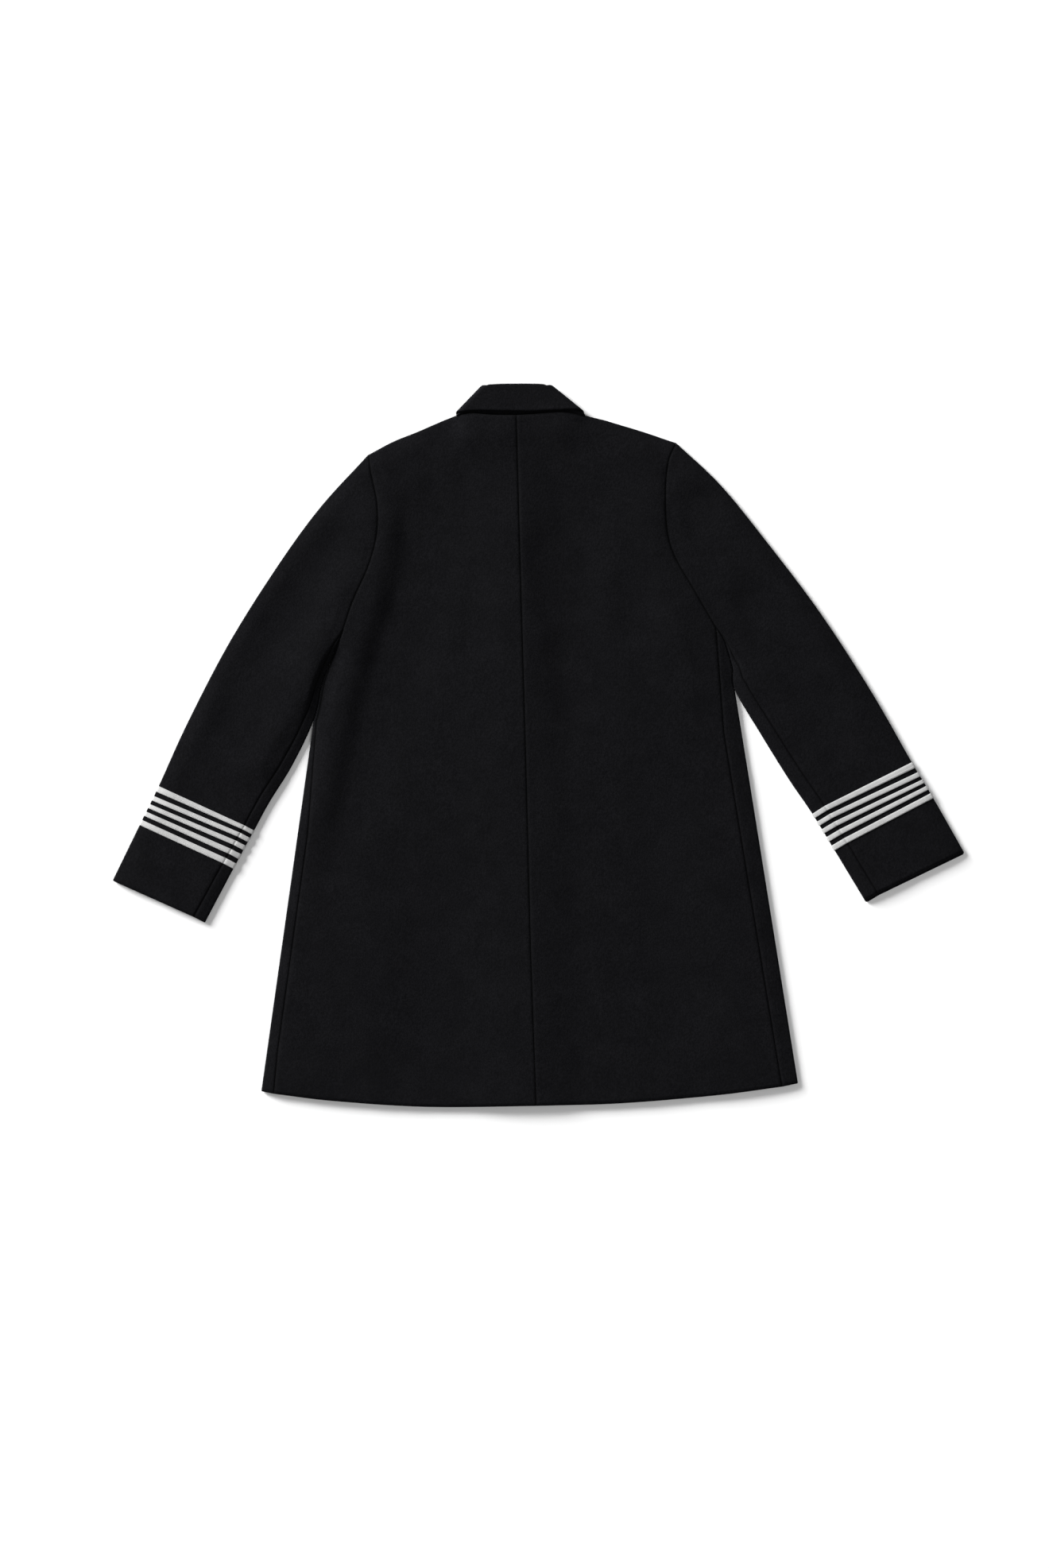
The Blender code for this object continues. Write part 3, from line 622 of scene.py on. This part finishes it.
def front_half(side, raised):
    """One front: its field on the floor, the turn over the shoulder, and the strip round the side."""
    shoulder, out, _ = shoulder_lines(side)
    side_axis, side_out, seam = side_lines(side)
    distances = np.linspace(-OVERLAP, half_neck(side), FRONT_STEPS + 1)[:-1]
    first = np.vstack([front_neck(side, distances), shoulder])
    outside = np.vstack([armhole_ring(side, True), side_axis[1:]])
    drop = CENTRE_SEAM[-1, 1] + FRONT_HEM_RISE - FRONT_NECK_LOW
    closing_y = FRONT_NECK_LOW + drop * shares_along(outside)
    closing = np.stack([centre_x(closing_y) - side["hand"] * OVERLAP, closing_y], axis=-1)
    width = np.linalg.norm(outside - closing, axis=1)
    near = (distances + OVERLAP) / width[:, None]
    far = near[:, -1:] + (1 - near[:, -1:]) * np.linspace(0, 1, len(shoulder) + 1)[1:]
    shares = np.hstack([near, far])
    beyond = shares[-1] * width[-1] - OVERLAP
    hem_shares = np.clip(beyond / (width[-1] - OVERLAP), 0, 1)
    last = at_shares(smooth_line([*side["hem"], side_axis[-1]]), hem_shares) + (0, FRONT_HEM_RISE)
    lap = np.clip(-beyond / OVERLAP, 0, 1)[:, None]
    last = last + lap * (closing[-1] - last[0])
    last[-1] = side_axis[-1]
    plan = spread(closing, outside, first, last, shares)
    inside_edge = -np.abs(plan[..., 0] - outside[:, None, 0])
    lift = folds_at(plan, UNDER_FOLDS) * fade(inside_edge, *UNDER_FOLD_MARGIN)
    field = skin(plan, (0, 0), 180.0, front_height(plan, raised) + lift)
    over_shoulder = turned(shoulder, out, 90, 180, front_height(shoulder, raised))
    strip = []
    for share in np.linspace(0, 1, STRIP_STEPS + 1):
        line = seam + (side_axis - seam) * share
        strip.append(top_field(line, far_from(line, side_axis)))
    round_side = turned(side_axis, side_out, 0, 180, 0.0)
    settle_turn(round_side, strip[-1][:, 2])
    return [field, over_shoulder, np.stack([*strip, *round_side[1:]], axis=1)]


def sleeve_sections():
    """Sections of the sleeve's rows, closer in the braid's band, and the rows where each braid lies."""
    band = (BRAIDS - 1) * BRAID_PITCH + BRAID_WIDTH
    sections = list(np.linspace(0, ABOVE_BAND, round(ABOVE_BAND * SECTION_STEPS)))
    slices = []
    for n in range(BRAIDS):
        edges = (n * BRAID_PITCH, n * BRAID_PITCH + BRAID_WIDTH)
        rows = BAND_TOP + (BAND_END - BAND_TOP) * np.linspace(*edges, TAPE_STEPS + 1) / band
        slices.append(slice(len(sections), len(sections) + len(rows)))
        sections += list(rows)
        if n < BRAIDS - 1:
            sections.append(rows[-1] + (BRAID_PITCH - BRAID_WIDTH) / 2 / band)
    sections += list(np.linspace(BELOW_BAND, CUFF, CUFF_STEPS))
    return np.array(sections), slices


def sleeve_tube(side, sections):
    """The whole sleeve as one skin: rows from armhole to cuff, columns round it from the hind-arm seam."""
    outer = at_sections([row[:2] for row in side["sleeve"]], sections)
    inner = at_sections([row[2:] for row in side["sleeve"]], sections)
    middle = (outer + inner) / 2
    at_arm = near_start(sections, UNDERARM_END)
    outer_out = led(normals_away(outer, middle), at_arm, side["shoulder_out"])
    inner_out = led(normals_away(inner, middle), at_arm, side["groove_out"])
    beside = fade(sections, BESIDE, BESIDE + SLEEVE_FADE)[:, None] * (1 - at_arm)
    inner = inner - inner_out * GROOVE / 2 * beside
    under = CUFF_LIFT * fade(-sections, -BAND_TOP, BAND_SLOPE - BAND_TOP)
    under = under * fade(sections, BAND_END, BAND_END + BAND_SLOPE)
    outer_axis = axis_of(outer, outer_out, under)
    inner_axis = axis_of(inner, inner_out, under)
    places = ring_places()
    strip_shares = (places[ARM_STEPS + 1 :] - SEAM_PLACE)[None, :, None]
    inset = np.interp(sections, *side["hind_arm_inset"])[:, None]
    beside_seam = inner_axis - inner_out * inset
    layers = []
    for front, table in ((False, TOP_SHARES), (True, UNDER_SHARES)):
        ring = armhole_ring(side, front)[: ARM_STEPS + 1]
        seam = beside_seam + near_start(sections, SEAM_START) * (ring[-1] - beside_seam[0])
        shares = np.interp(places[: ARM_STEPS + 1], range(len(table)), table) / table[-1]
        cuff = outer_axis[-1] + shares[:, None] * (seam[-1] - outer_axis[-1])
        wide = spread(outer_axis, seam, ring, cuff, shares, power=6.0)
        strip = seam[:, None] + (inner_axis - seam)[:, None] * strip_shares
        layers.append(np.concatenate([wide, strip], axis=1))
    above, below = layers
    inside_edge = -np.minimum(places, places[-1] - places)
    level = under[:, None] + folds_at(below, UNDER_FOLDS) * fade(inside_edge, *UNDER_FOLD_PLACES)
    to_edges = [np.linalg.norm(above - axis[:, None], axis=-1) for axis in (outer_axis, inner_axis)]
    field = top_field(above, np.minimum(*to_edges))
    outside = turned(outer_axis, outer_out, 0, 180, under)
    inside = turned(inner_axis, inner_out, 0, 180, under)
    settle_turn(outside, field[:, 0, 2])
    settle_turn(inside, field[:, -1, 2])
    tube = np.concatenate([
        field[:, ARM_STEPS::-1],
        np.swapaxes(outside[1:-1], 0, 1),
        skin(below, (0, 0), 180.0, level),
        np.swapaxes(inside[-2:0:-1], 0, 1),
        field[:, :ARM_STEPS - 1:-1],
    ], axis=1)
    cuff_end = (1 - tube[-1, :, 5:6]) / 2
    tube[-1, :, :2] += unit(middle[-1] - middle[-2]) * side["under_cuff_reach"] * cuff_end
    return tube


def collar_columns(side, raised):
    """Columns of the collar from the centre of the back round the side to the centre of the front.

    Each is the neck seam, the roll and the fall's edge in plan, with the turn round the side.
    """
    start, along = np.array(side["collar_axis"][0]), unit(side["collar_axis"][1])
    out = unit(side["collar_out"])
    seam_end = neck_side(side)
    shares = np.linspace(0, 1, 2 * NECK_STEPS + 1)
    back = [
        at_shares(smooth_line([*side["back_neck"], seam_end]), shares),
        at_shares(smooth_line([*side["back_roll"], start - along * CORNER_SLIP]), shares),
        at_shares(smooth_line([*side["back_fall"], start + along * side["fall_reach"][0]]), shares),
    ]
    columns = [(*points, 0.0, 0.0) for points in zip(*(line[:-1] for line in back))]
    slant = abs(along[0] / along[1])
    for turn in np.linspace(0, 180, TURN_STEPS + 1):
        slip = COLLAR_LIFT * np.radians(turn - 90.0) * slant
        reach = np.interp(turn, (0, 45, 90, 135, 180), side["fall_reach"])
        columns.append((seam_end, start + along * slip, start + along * reach, turn, 0.0))
    middle = centre_x(FRONT_NECK_LOW)
    table = np.array(FRONT_COLLAR)
    distances = np.linspace(table[-1, 0], table[0, 0], FRONT_STEPS)
    seams = front_neck(side, distances)
    rise = front_height(seams, raised) - COLLAR_LIFT
    for distance, seam, extra in zip(distances, seams, rise):
        row = [np.interp(distance, table[:, 0], table[:, k]) for k in range(1, 5)]
        roll = np.array([middle + side["hand"] * half_neck(side) * row[0], row[1]])
        fall = np.array([middle + side["hand"] * half_neck(side) * row[2], row[3]])
        columns.append((seam, roll, fall, 180.0, extra))
    return [(*column, out) for column in columns]


def collar_section(seam, roll, fall, turn, rise, out):
    """One section of the collar's neck side, roll and fall, folded flat and turned round the side."""
    middle = (TOP + COLLAR_LIFT) / 2
    stand_radius = middle - COLLAR_LIFT - CLOTH
    fall_radius = stand_radius + 2 * CLOTH + COLLAR_GAP
    roll_radius = (fall_radius - stand_radius) / 2
    away = np.array([*(out * np.sin(np.radians(turn))), np.cos(np.radians(turn))])
    ahead = unit(roll - (seam + fall) / 2)
    stations = []
    for share in np.linspace(0, 1, ROLL_STATIONS):
        stations.append((seam + share * (roll - seam), stand_radius, -away, (0, 0, rise * (1 - share))))
    for bend in np.radians(np.linspace(0, 180, ROLL_TURNS + 2)[1:-1]):
        plan = roll + ahead * roll_radius * np.sin(bend)
        radius = stand_radius + roll_radius * (1 - np.cos(bend))
        direction = np.array([*(ahead * np.sin(bend)), 0]) - away * np.cos(bend)
        stations.append((plan, radius, direction, (0, 0, 0)))
    above = max(away[2], 0.0)
    for share in np.linspace(0, 1, FALL_STATIONS):
        point = roll + share * (fall - roll)
        ripple = FALL_WAVE * np.sin(point[0] * FALL_WAVE_RATE + FALL_WAVE_START)
        wave = (ripple * share + FALL_RISE * share**2) * above
        stations.append((point, fall_radius, away, (0, 0, wave)))
    rows = []
    for plan, radius, direction, lift in stations:
        rows.append([*(np.array([*plan, middle]) + away * radius + lift), *direction])
    return np.array(rows)


def collar_skin():
    left = [collar_section(*column) for column in collar_columns(SIDES["left"], -1.0)]
    right = [collar_section(*column) for column in collar_columns(SIDES["right"], 0.0)]
    return np.stack([*reversed(left), *right[1:]], axis=1)


def finer(patch, axis, at_start, at_end):
    """Adds close lines of points beside the first or last line of a patch, for the bend into a seam."""
    patch = np.moveaxis(patch, axis, 0)
    for wanted in (at_start, at_end):
        if wanted:
            lines = [*between(patch[0], patch[1], CLOSE_SHARES), *between(patch[1], patch[2], (0.5, 1.0))]
            patch = np.concatenate([patch[:1], *lines, patch[3:]])
        patch = patch[::-1]
    return np.moveaxis(patch, 0, axis)


def between(first, second, shares):
    return [(first + (second - first) * share)[None] for share in shares]


def weave_points(patch):
    """Distances along and across a patch in millimetres, for the threads and stitches."""
    p = patch[..., :3]
    along = np.linalg.norm(np.diff(p, axis=1), axis=-1)
    across = np.linalg.norm(np.diff(p, axis=0), axis=-1)
    u = np.concatenate([np.zeros((len(p), 1)), np.cumsum(along, axis=1)], axis=1)
    v = np.concatenate([np.zeros((1, p.shape[1])), np.cumsum(across, axis=0)], axis=0)
    return np.stack([u, v], axis=-1)


def cloth(name, patches, material, seams, dip, outer=0.0, thickness=CLOTH, rounding=EDGE_ROUND):
    """A wall from patches of skin, which meet where they share points.

    The cloth dips beside the seam lines, and its open edges elsewhere are rounded.
    """
    rows, index, faces = [], {}, []
    for patch in patches:
        ids = np.empty(patch.shape[:2], int)
        marked = np.concatenate([patch, weave_points(patch)], axis=-1)
        for place in np.ndindex(ids.shape):
            ids[place] = index.setdefault(tuple(np.round(marked[place][:3], 2)), len(rows))
            if ids[place] == len(rows):
                rows.append(marked[place])
        corners = zip(ids[:-1, :-1].flat, ids[1:, :-1].flat, ids[1:, 1:].flat, ids[:-1, 1:].flat)
        grid = [tuple(dict.fromkeys(int(i) for i in face)) for face in corners]
        grid = [face for face in grid if len(face) > 2]
        outward = sum(facing(rows, face) for face in grid[:: max(1, len(grid) // 400)]) > 0
        faces += grid if outward else [face[::-1] for face in grid]
    points, directions, marks = np.split(np.array(rows), (3, 6), axis=1)
    directions = unit(directions)
    used = {(a, b) for face in faces for a, b in zip(face, face[1:] + face[:1])}
    rim = [(a, b) for a, b in used if (b, a) not in used]
    inward = inward_ways(points, directions, rim)
    points, sewn, seam_shade = dipped(points, directions, inward, seams, dip)
    far = len(points)
    top = points + directions * outer
    low = points + directions * (outer - thickness)
    top[:, 2] = np.maximum(top[:, 2], 0.0)
    low[:, 2] = np.maximum(low[:, 2], 0.0)
    mids = sorted(inward)
    place_of = {i: 2 * far + k for k, i in enumerate(mids)}
    edge_mid = np.array([(top[i] + low[i]) / 2 + inward[i] * SEAM_GAP for i in mids])
    for i in mids:
        pull = SEAM_GAP if i in sewn else rounding
        top[i] += inward[i] * pull
        low[i] += inward[i] * pull
    walls = []
    for a, b in rim:
        walls += [(b, a, place_of[a], place_of[b]), (place_of[b], place_of[a], a + far, b + far)]
    inside = [tuple(i + far for i in reversed(face)) for face in faces]
    shell = np.vstack([top, low, edge_mid])
    coordinates = np.vstack([marks, marks, marks[mids]])
    obj = mesh_object(name, shell, faces + inside + walls, coordinates, material)
    # The painted seam shade is stored on the points, for the wool to darken the seams with
    seam_shade_layer = obj.data.attributes.new("seam_shade", "FLOAT", "POINT")
    seam_shade_layer.data.foreach_set("value", np.concatenate([seam_shade, seam_shade, seam_shade[mids]]))
    return obj


def facing(rows, face):
    """Above 0 where the face's points run anticlockwise, seen from outside."""
    a, b, c = (rows[i][:3] for i in face[:3])
    return np.cross(b - a, c - a) @ sum(rows[i][3:6] for i in face)


def inward_ways(points, directions, rim):
    """For each point of an open edge, the way into the cloth."""
    ways = {}
    for a, b in rim:
        along = points[b] - points[a]
        length = np.linalg.norm(along)
        if length < SHORT:
            continue
        for i in (a, b):
            ways.setdefault(i, []).append(unit(np.cross(directions[i], along / length)))
    result = {}
    for i, found in ways.items():
        total = np.sum(found, axis=0)
        result[i] = total * len(found) / max(total @ total, 0.5)
    return result


def dipped(points, directions, inward, seams, dip):
    """Bends the cloth down beside each seam line, and gives each point its share of the painted shade along
    the seams.
    """
    moved = points.copy()
    sewn = set()
    seam_shade = np.zeros(len(points))
    level = np.abs(directions[:, 2])
    wave = np.sin(points[:, 1] * PUCKER_RATE_Y + points[:, 0] * PUCKER_RATE_X)
    for line in seams:
        nearest = distance_to(points, line[:, :3])
        moved -= directions * (dip * level * np.exp(-((nearest / SEAM_WIDTH) ** 2)))[:, None]
        pucker = PUCKER_HEIGHT * np.exp(-(((nearest - PUCKER_AWAY) / PUCKER_WIDTH) ** 2))
        moved += directions * (pucker * (1 + PUCKER_WAVE * wave))[:, None]
        sewn |= {i for i in inward if nearest[i] < SEWN_WITHIN}
        # Painted seam shade: full on the seam line, gone a few millimetres from it
        seam_shade = np.maximum(seam_shade, np.exp(-((nearest / SEAM_SHADE_WIDTH) ** 2)))
    return moved, sewn, seam_shade


def distance_to(points, line):
    """Distance of each point from a line of points in space, through its segments."""
    best = np.full(len(points), np.inf)
    low, high = line.min(axis=0) - SEAM_NEAR, line.max(axis=0) + SEAM_NEAR
    close = np.where(((points > low) & (points < high)).all(axis=1))[0]
    near = points[close]
    found = np.full(len(close), np.inf)
    for a, b in zip(line, line[1:]):
        run = b - a
        length = run @ run
        if length < SHORT**2:
            continue
        share = np.clip(((near - a) @ run) / length, 0, 1)
        found = np.minimum(found, np.linalg.norm(near - a - share[:, None] * run, axis=1))
    best[close] = found
    return best


def placed(name, data):
    """A new object in the scene that shows some data."""
    obj = bpy.data.objects.new(name, data)
    bpy.context.scene.collection.objects.link(obj)
    return obj


def mesh_object(name, points, faces, coordinates, material):
    mesh = bpy.data.meshes.new(name)
    mesh.from_pydata([tuple(p) for p in np.asarray(points) * MM], [], faces)
    layer = mesh.uv_layers.new(name="threads")
    corner_points = np.empty(len(mesh.loops), int)
    mesh.loops.foreach_get("vertex_index", corner_points)
    layer.data.foreach_set("uv", coordinates[corner_points].astype(float).ravel())
    mesh.shade_smooth()
    mesh.materials.append(material)
    return placed(name, mesh)


class Graph:
    """Short ways to add and join the nodes of one material."""

    def __init__(self, name):
        self.material = bpy.data.materials.new(name)
        self.material.use_nodes = True
        self.tree = self.material.node_tree
        self.shader = self.tree.nodes["Principled BSDF"]

    def add(self, kind, **settings):
        node = self.tree.nodes.new(f"ShaderNode{kind}")
        for key, value in settings.items():
            setattr(node, key, value)
        return node

    def join(self, source, socket):
        if isinstance(source, bpy.types.NodeSocket):
            self.tree.links.new(source, socket)
        else:
            socket.default_value = source

    def feed(self, node, *values):
        """Joins or sets a node's first inputs. Returns its first output."""
        for value, socket in zip(values, node.inputs):
            self.join(value, socket)
        return node.outputs[0]

    def math(self, operation, *values):
        return self.feed(self.add("Math", operation=operation), *values)

    def range(self, value, low, high, to_low, to_high):
        return self.feed(self.add("MapRange"), value, low, high, to_low, to_high)

    def sum(self, *parts):
        """The sum of values, each with its factor."""
        total, *rest = [self.math("MULTIPLY", value, factor) for value, factor in parts]
        for part in rest:
            total = self.math("ADD", total, part)
        return total

    def fill(self, node, **values):
        """Joins or sets a node's inputs, named with _ for each space. Returns its first output."""
        for name, value in values.items():
            self.join(value, node.inputs[name.replace("_", " ")])
        return node.outputs[0]

    def noise(self, size_mm, detail=3.0, rough=0.55, stretch=(1, 1, 1), turn=0.0, distort=0.0):
        """Noise between 0 and 1 with features of about a size, in the object's own coordinates."""
        node = self.add("TexNoise")
        place = self.fill(
            self.add("Mapping"),
            Vector=self.add("TexCoord").outputs["Object"],
            Scale=tuple(1000 / size_mm / s for s in stretch),
            Rotation=(0, 0, turn),
        )
        return self.fill(node, Vector=place, Scale=1.0, Detail=detail, Roughness=rough, Distortion=distort)

    def ramp(self, value, stops):
        node = self.add("ValToRGB")
        while len(node.color_ramp.elements) < len(stops):
            node.color_ramp.elements.new(0.5)
        for element, (position, colour) in zip(node.color_ramp.elements, stops):
            element.position = position
            element.color = (*colour, 1)
        self.join(value, node.inputs["Fac"])
        return node.outputs["Color"]

    def mix(self, share, first, second):
        """A share of a plain colour laid over another."""
        node = self.add("Mix", data_type="RGBA")
        self.join(share, node.inputs["Factor"])
        self.join(first, node.inputs[6])
        self.join((*second, 1), node.inputs[7])
        return node.outputs[2]

    def bump(self, height, distance_mm, strength=1.0, under=None):
        node = self.add("Bump")
        if under is not None:
            self.join(under, node.inputs["Normal"])
        return self.fill(node, Height=height, Distance=distance_mm * MM, Strength=strength)


def wool_material(name):
    """Thick fulled wool: a short nap, cloudy mottling, brushed patches and a few paler fibres."""
    g = Graph(name)
    mottle = g.noise(6.0, detail=5.0, rough=0.62)
    clouds = g.noise(30.0, detail=4.0, rough=0.6, distort=0.4)
    brushed = g.noise(75.0, detail=3.0, stretch=(0.7, 1.6, 1), distort=0.6)
    nap = g.noise(1.1, detail=4.0, rough=0.7, stretch=(0.8, 1.5, 1), turn=0.12)
    clumps = g.noise(3.2, detail=3.0, rough=0.6, stretch=(1, 1.4, 1), turn=-0.2)
    tone = g.sum((mottle, 0.30), (clouds, 0.42), (brushed, 0.28))
    base = g.ramp(tone, [(0.38, WOOL_DARK), (0.62, WOOL_LIGHT)])
    speck = g.range(nap, 0.58, 0.80, 0.0, 1.0)
    base = g.mix(g.math("MULTIPLY", speck, 0.6), base, WOOL_FIBRE)
    grain = g.noise(2.0, detail=3.0, rough=0.65, stretch=(0.9, 1.3, 1))
    base = g.mix(g.range(grain, 0.40, 0.60, 0.55, 0.0), base, WOOL_PIT)
    # Painted shade along the seams, read from the points' attribute and laid over the wool colour
    seam_shade = g.add("Attribute", attribute_name="seam_shade").outputs["Fac"]
    base = g.mix(g.math("MULTIPLY", seam_shade, 0.7), base, PAINTED_SEAM_SHADE)
    soft = g.bump(g.noise(16.0, detail=2.0), 0.6, 0.5)
    lumps = g.bump(clumps, 0.5, 0.7, soft)
    g.fill(
        g.shader,
        Base_Color=base,
        Roughness=g.range(brushed, 0.35, 0.7, 0.82, 0.96),
        Specular_IOR_Level=0.05,
        Sheen_Weight=0.008,
        Sheen_Roughness=0.45,
        Sheen_Tint=(0.85, 0.9, 1.0, 1),
        Normal=g.bump(nap, 0.22, 0.8, lumps),
    )
    return g.material


def braid_material(name):
    """Flat woven braid: fine ribs across the tape, a firmer edge, and sewing along both edges."""
    g = Graph(name)
    split = g.add("SeparateXYZ")
    along = g.feed(split, g.add("TexCoord").outputs["UV"])
    across = split.outputs[1]
    wander = g.math("MULTIPLY", g.noise(3.0, detail=2.0), 0.5)
    ribs = g.math("SINE", g.math("MULTIPLY", g.math("ADD", along, wander), 2 * math.pi / RIB_PITCH))
    weft = g.math("SINE", g.math("MULTIPLY", across, 2 * math.pi / WEFT_PITCH))
    weave = g.math("ADD", g.sum((ribs, 0.32), (weft, 0.14)), 0.5)
    from_edge = g.math("MINIMUM", across, g.math("SUBTRACT", BRAID_WIDTH, across))
    selvage = g.range(from_edge, *SELVAGE, 1.0, 0.0)
    begun = g.range(from_edge, *SEWING_START, 0.0, 1.0)
    row = g.math("MULTIPLY", begun, g.range(from_edge, *SEWING_END, 1.0, 0.0))
    step = g.math("FRACT", g.math("DIVIDE", along, STITCH_PITCH))
    stitch = g.math("MULTIPLY", row, g.range(step, 0.55, 0.7, 1.0, 0.0))
    fuzz = g.noise(0.8, detail=3.0, rough=0.7)
    patches = g.noise(14.0, detail=3.0)
    base = g.ramp(g.sum((weave, 0.30), (fuzz, 0.45), (patches, 0.25)), BRAID_TONES)
    base = g.mix(g.math("MULTIPLY", stitch, 0.45), base, BRAID_THREAD)
    base = g.mix(g.math("MULTIPLY", selvage, 0.25), base, BRAID_SELVAGE)
    height = g.math("SUBTRACT", g.math("ADD", weave, g.math("MULTIPLY", selvage, 0.5)), stitch)
    g.fill(
        g.shader,
        Base_Color=base,
        Roughness=g.range(fuzz, 0.3, 0.7, 0.62, 0.82),
        Specular_IOR_Level=0.3,
        Sheen_Weight=0.1,
        Sheen_Roughness=0.5,
        Normal=g.bump(fuzz, 0.08, 0.6, g.bump(height, 0.2, 0.8)),
    )
    return g.material


def button_material(name):
    """Dark horn-like resin with faint streaks and fine handling marks."""
    g = Graph(name)
    streaks = g.noise(5.0, detail=4.0, stretch=(0.5, 2.2, 1), distort=1.2)
    marks = g.noise(0.6, detail=4.0, rough=0.7, stretch=(0.4, 3.0, 1), turn=0.7)
    g.fill(
        g.shader,
        Base_Color=g.ramp(streaks, BUTTON_TONES),
        Roughness=g.range(marks, 0.3, 0.75, 0.26, 0.48),
        Normal=g.bump(marks, 0.02, 0.4),
    )
    return g.material


wool = wool_material("wool_cloth")
braid = braid_material("woven_braid")
button_finish = button_material("button_resin")


def carried(obj, node):
    """Hides the solid that a piece stands in for, and carries the piece with the root body."""
    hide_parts(node)
    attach(obj, "root")
    return obj


def longest_run(patch, axis):
    """The longest of a patch's lines of points along one axis of its grid, in metres."""
    steps = np.linalg.norm(np.diff(patch[..., :3], axis=axis), axis=-1)
    return steps.sum(axis=axis).max() * MM


def area_of(patches):
    """Area of patches of skin in square metres."""
    total = 0.0
    for patch in patches:
        p = patch[..., :3] * MM
        first = np.cross(p[1:, :-1] - p[:-1, :-1], p[:-1, 1:] - p[:-1, :-1])
        second = np.cross(p[1:, :-1] - p[1:, 1:], p[:-1, 1:] - p[1:, 1:])
        total += (np.linalg.norm(first, axis=-1).sum() + np.linalg.norm(second, axis=-1).sum()) / 2
    return total


sections, braid_slices = sleeve_sections()


def braid_piece(node, patch, seams):
    """A braid made from the sleeve's own points, moved out."""
    obj = cloth(f"{node}_tape", [patch], braid, seams, BRAID_DIP, CUFF_LIFT, BRAID_THICKNESS, BRAID_ROUND)
    return carried(obj, node)


def cloth_piece(node, patches, seams, dip=SEAM_DIP):
    """A panel of wool, carried on the root body; the area and size it was cut to are worked out but not
    used.

    Its patches are the field, the turn over the shoulder and the strip at the side.
    """
    obj = carried(cloth(f"{node}_cloth", patches, wool, seams, dip), node)
    area = area_of(patches)
    width = float(sum(longest_run(patch, 1) for patch in patches[::2]))
    length = float(sum(longest_run(patch, 0) for patch in patches[:2]))
    area = float(min(area, width * length))


collar = collar_skin()

for hand, side in SIDES.items():
    raised = -1.0 if hand == "left" else 0.0
    tube = sleeve_tube(side, sections)
    back = back_half(side)
    front = front_half(side, raised)
    sleeve_seams = [tube[:, 0], tube[:, FOREARM_COLUMN]]
    armhole_back = back[0][: ARM_STEPS + 1, -1]
    armhole_front = front[0][: ARM_STEPS + STRIP_STEPS + 1, -1]
    centre_line = back[0][:, 0]
    side_line = back[0][ARM_STEPS:, -1]
    shoulder_line = back[1][0]
    back_neck = back[0][0, : NECK_STEPS + 1]
    back = [finer(finer(back[0], 1, True, True), 0, True, False), finer(back[1], 1, False, True)]
    cloth_piece(f"back_{hand}", back, [centre_line, side_line, armhole_back, back_neck, shoulder_line])
    front[2] = finer(front[2], 1, True, False)
    cloth_piece(f"front_{hand}", front, [side_line, armhole_front, shoulder_line])
    for part, columns in (("top", slice(FOREARM_COLUMN + 1)), ("under", slice(FOREARM_COLUMN, None))):
        patch = finer(tube[:, columns], 1, True, True)
        tapes = [braid_piece(f"braid_{n + 1}_{part}_{hand}", patch[rows], sleeve_seams)
                 for n, rows in enumerate(braid_slices)]
        patch = finer(patch, 0, True, False)
        cloth_piece(f"sleeve_{part}_{hand}", [patch], [*sleeve_seams, tube[0]])

cloth_piece("collar_stand", [collar[:ROLL_STATIONS]], [collar[0]], dip=0.0)
cloth_piece("collar", [collar[ROLL_STATIONS - 1 :]], [])

for n in range(BUTTONS):
    disc = bpy.data.objects[f"button_{n + 1}"]
    disc.data.materials.clear()
    disc.data.materials.append(button_finish)


def floor():
    mesh = bpy.data.meshes.new("floor")
    ways = ((-1, -1), (1, -1), (1, 1), (-1, 1))
    mesh.from_pydata([(x * FLOOR_SIZE, y * FLOOR_SIZE, -FLOOR_DROP) for x, y in ways], [], [(0, 1, 2, 3)])
    g = Graph("pale_floor")
    g.fill(g.shader, Base_Color=FLOOR_TONE, Roughness=0.9, Specular_IOR_Level=0.1)
    mesh.materials.append(g.material)
    placed("floor", mesh)


def area_light(name, place, size, power):
    """A square light that shines at the middle of the coat."""
    data = bpy.data.lights.new(name, "AREA")
    data.shape = "RECTANGLE"
    data.size = size
    data.size_y = size
    data.energy = power
    obj = placed(name, data)
    obj.location = place
    x, y, z = place
    obj.rotation_euler = (math.atan2(math.hypot(x, y), z), 0, math.atan2(-y, -x) - math.pi / 2)


def camera():
    """A camera that looks straight down, so high that its frame is FRAME_HEIGHT metres high."""
    data = bpy.data.cameras.new("camera")
    data.lens = LENS
    data.sensor_width = SENSOR
    data.clip_end = 60
    obj = placed("camera", data)
    obj.location = (*CAMERA_PLACE, FRAME_HEIGHT * LENS / SENSOR)
    bpy.context.scene.camera = obj


def world():
    scene = bpy.context.scene
    scene.world = bpy.data.worlds.new("studio")
    scene.world.use_nodes = True
    background = scene.world.node_tree.nodes["Background"]
    background.inputs["Color"].default_value = (1, 1, 1, 1)
    background.inputs["Strength"].default_value = WORLD_STRENGTH
    scene.view_settings.view_transform = "Standard"


floor()
area_light("key", **KEY_LIGHT)
area_light("fill", **FILL_LIGHT)
camera()
world()
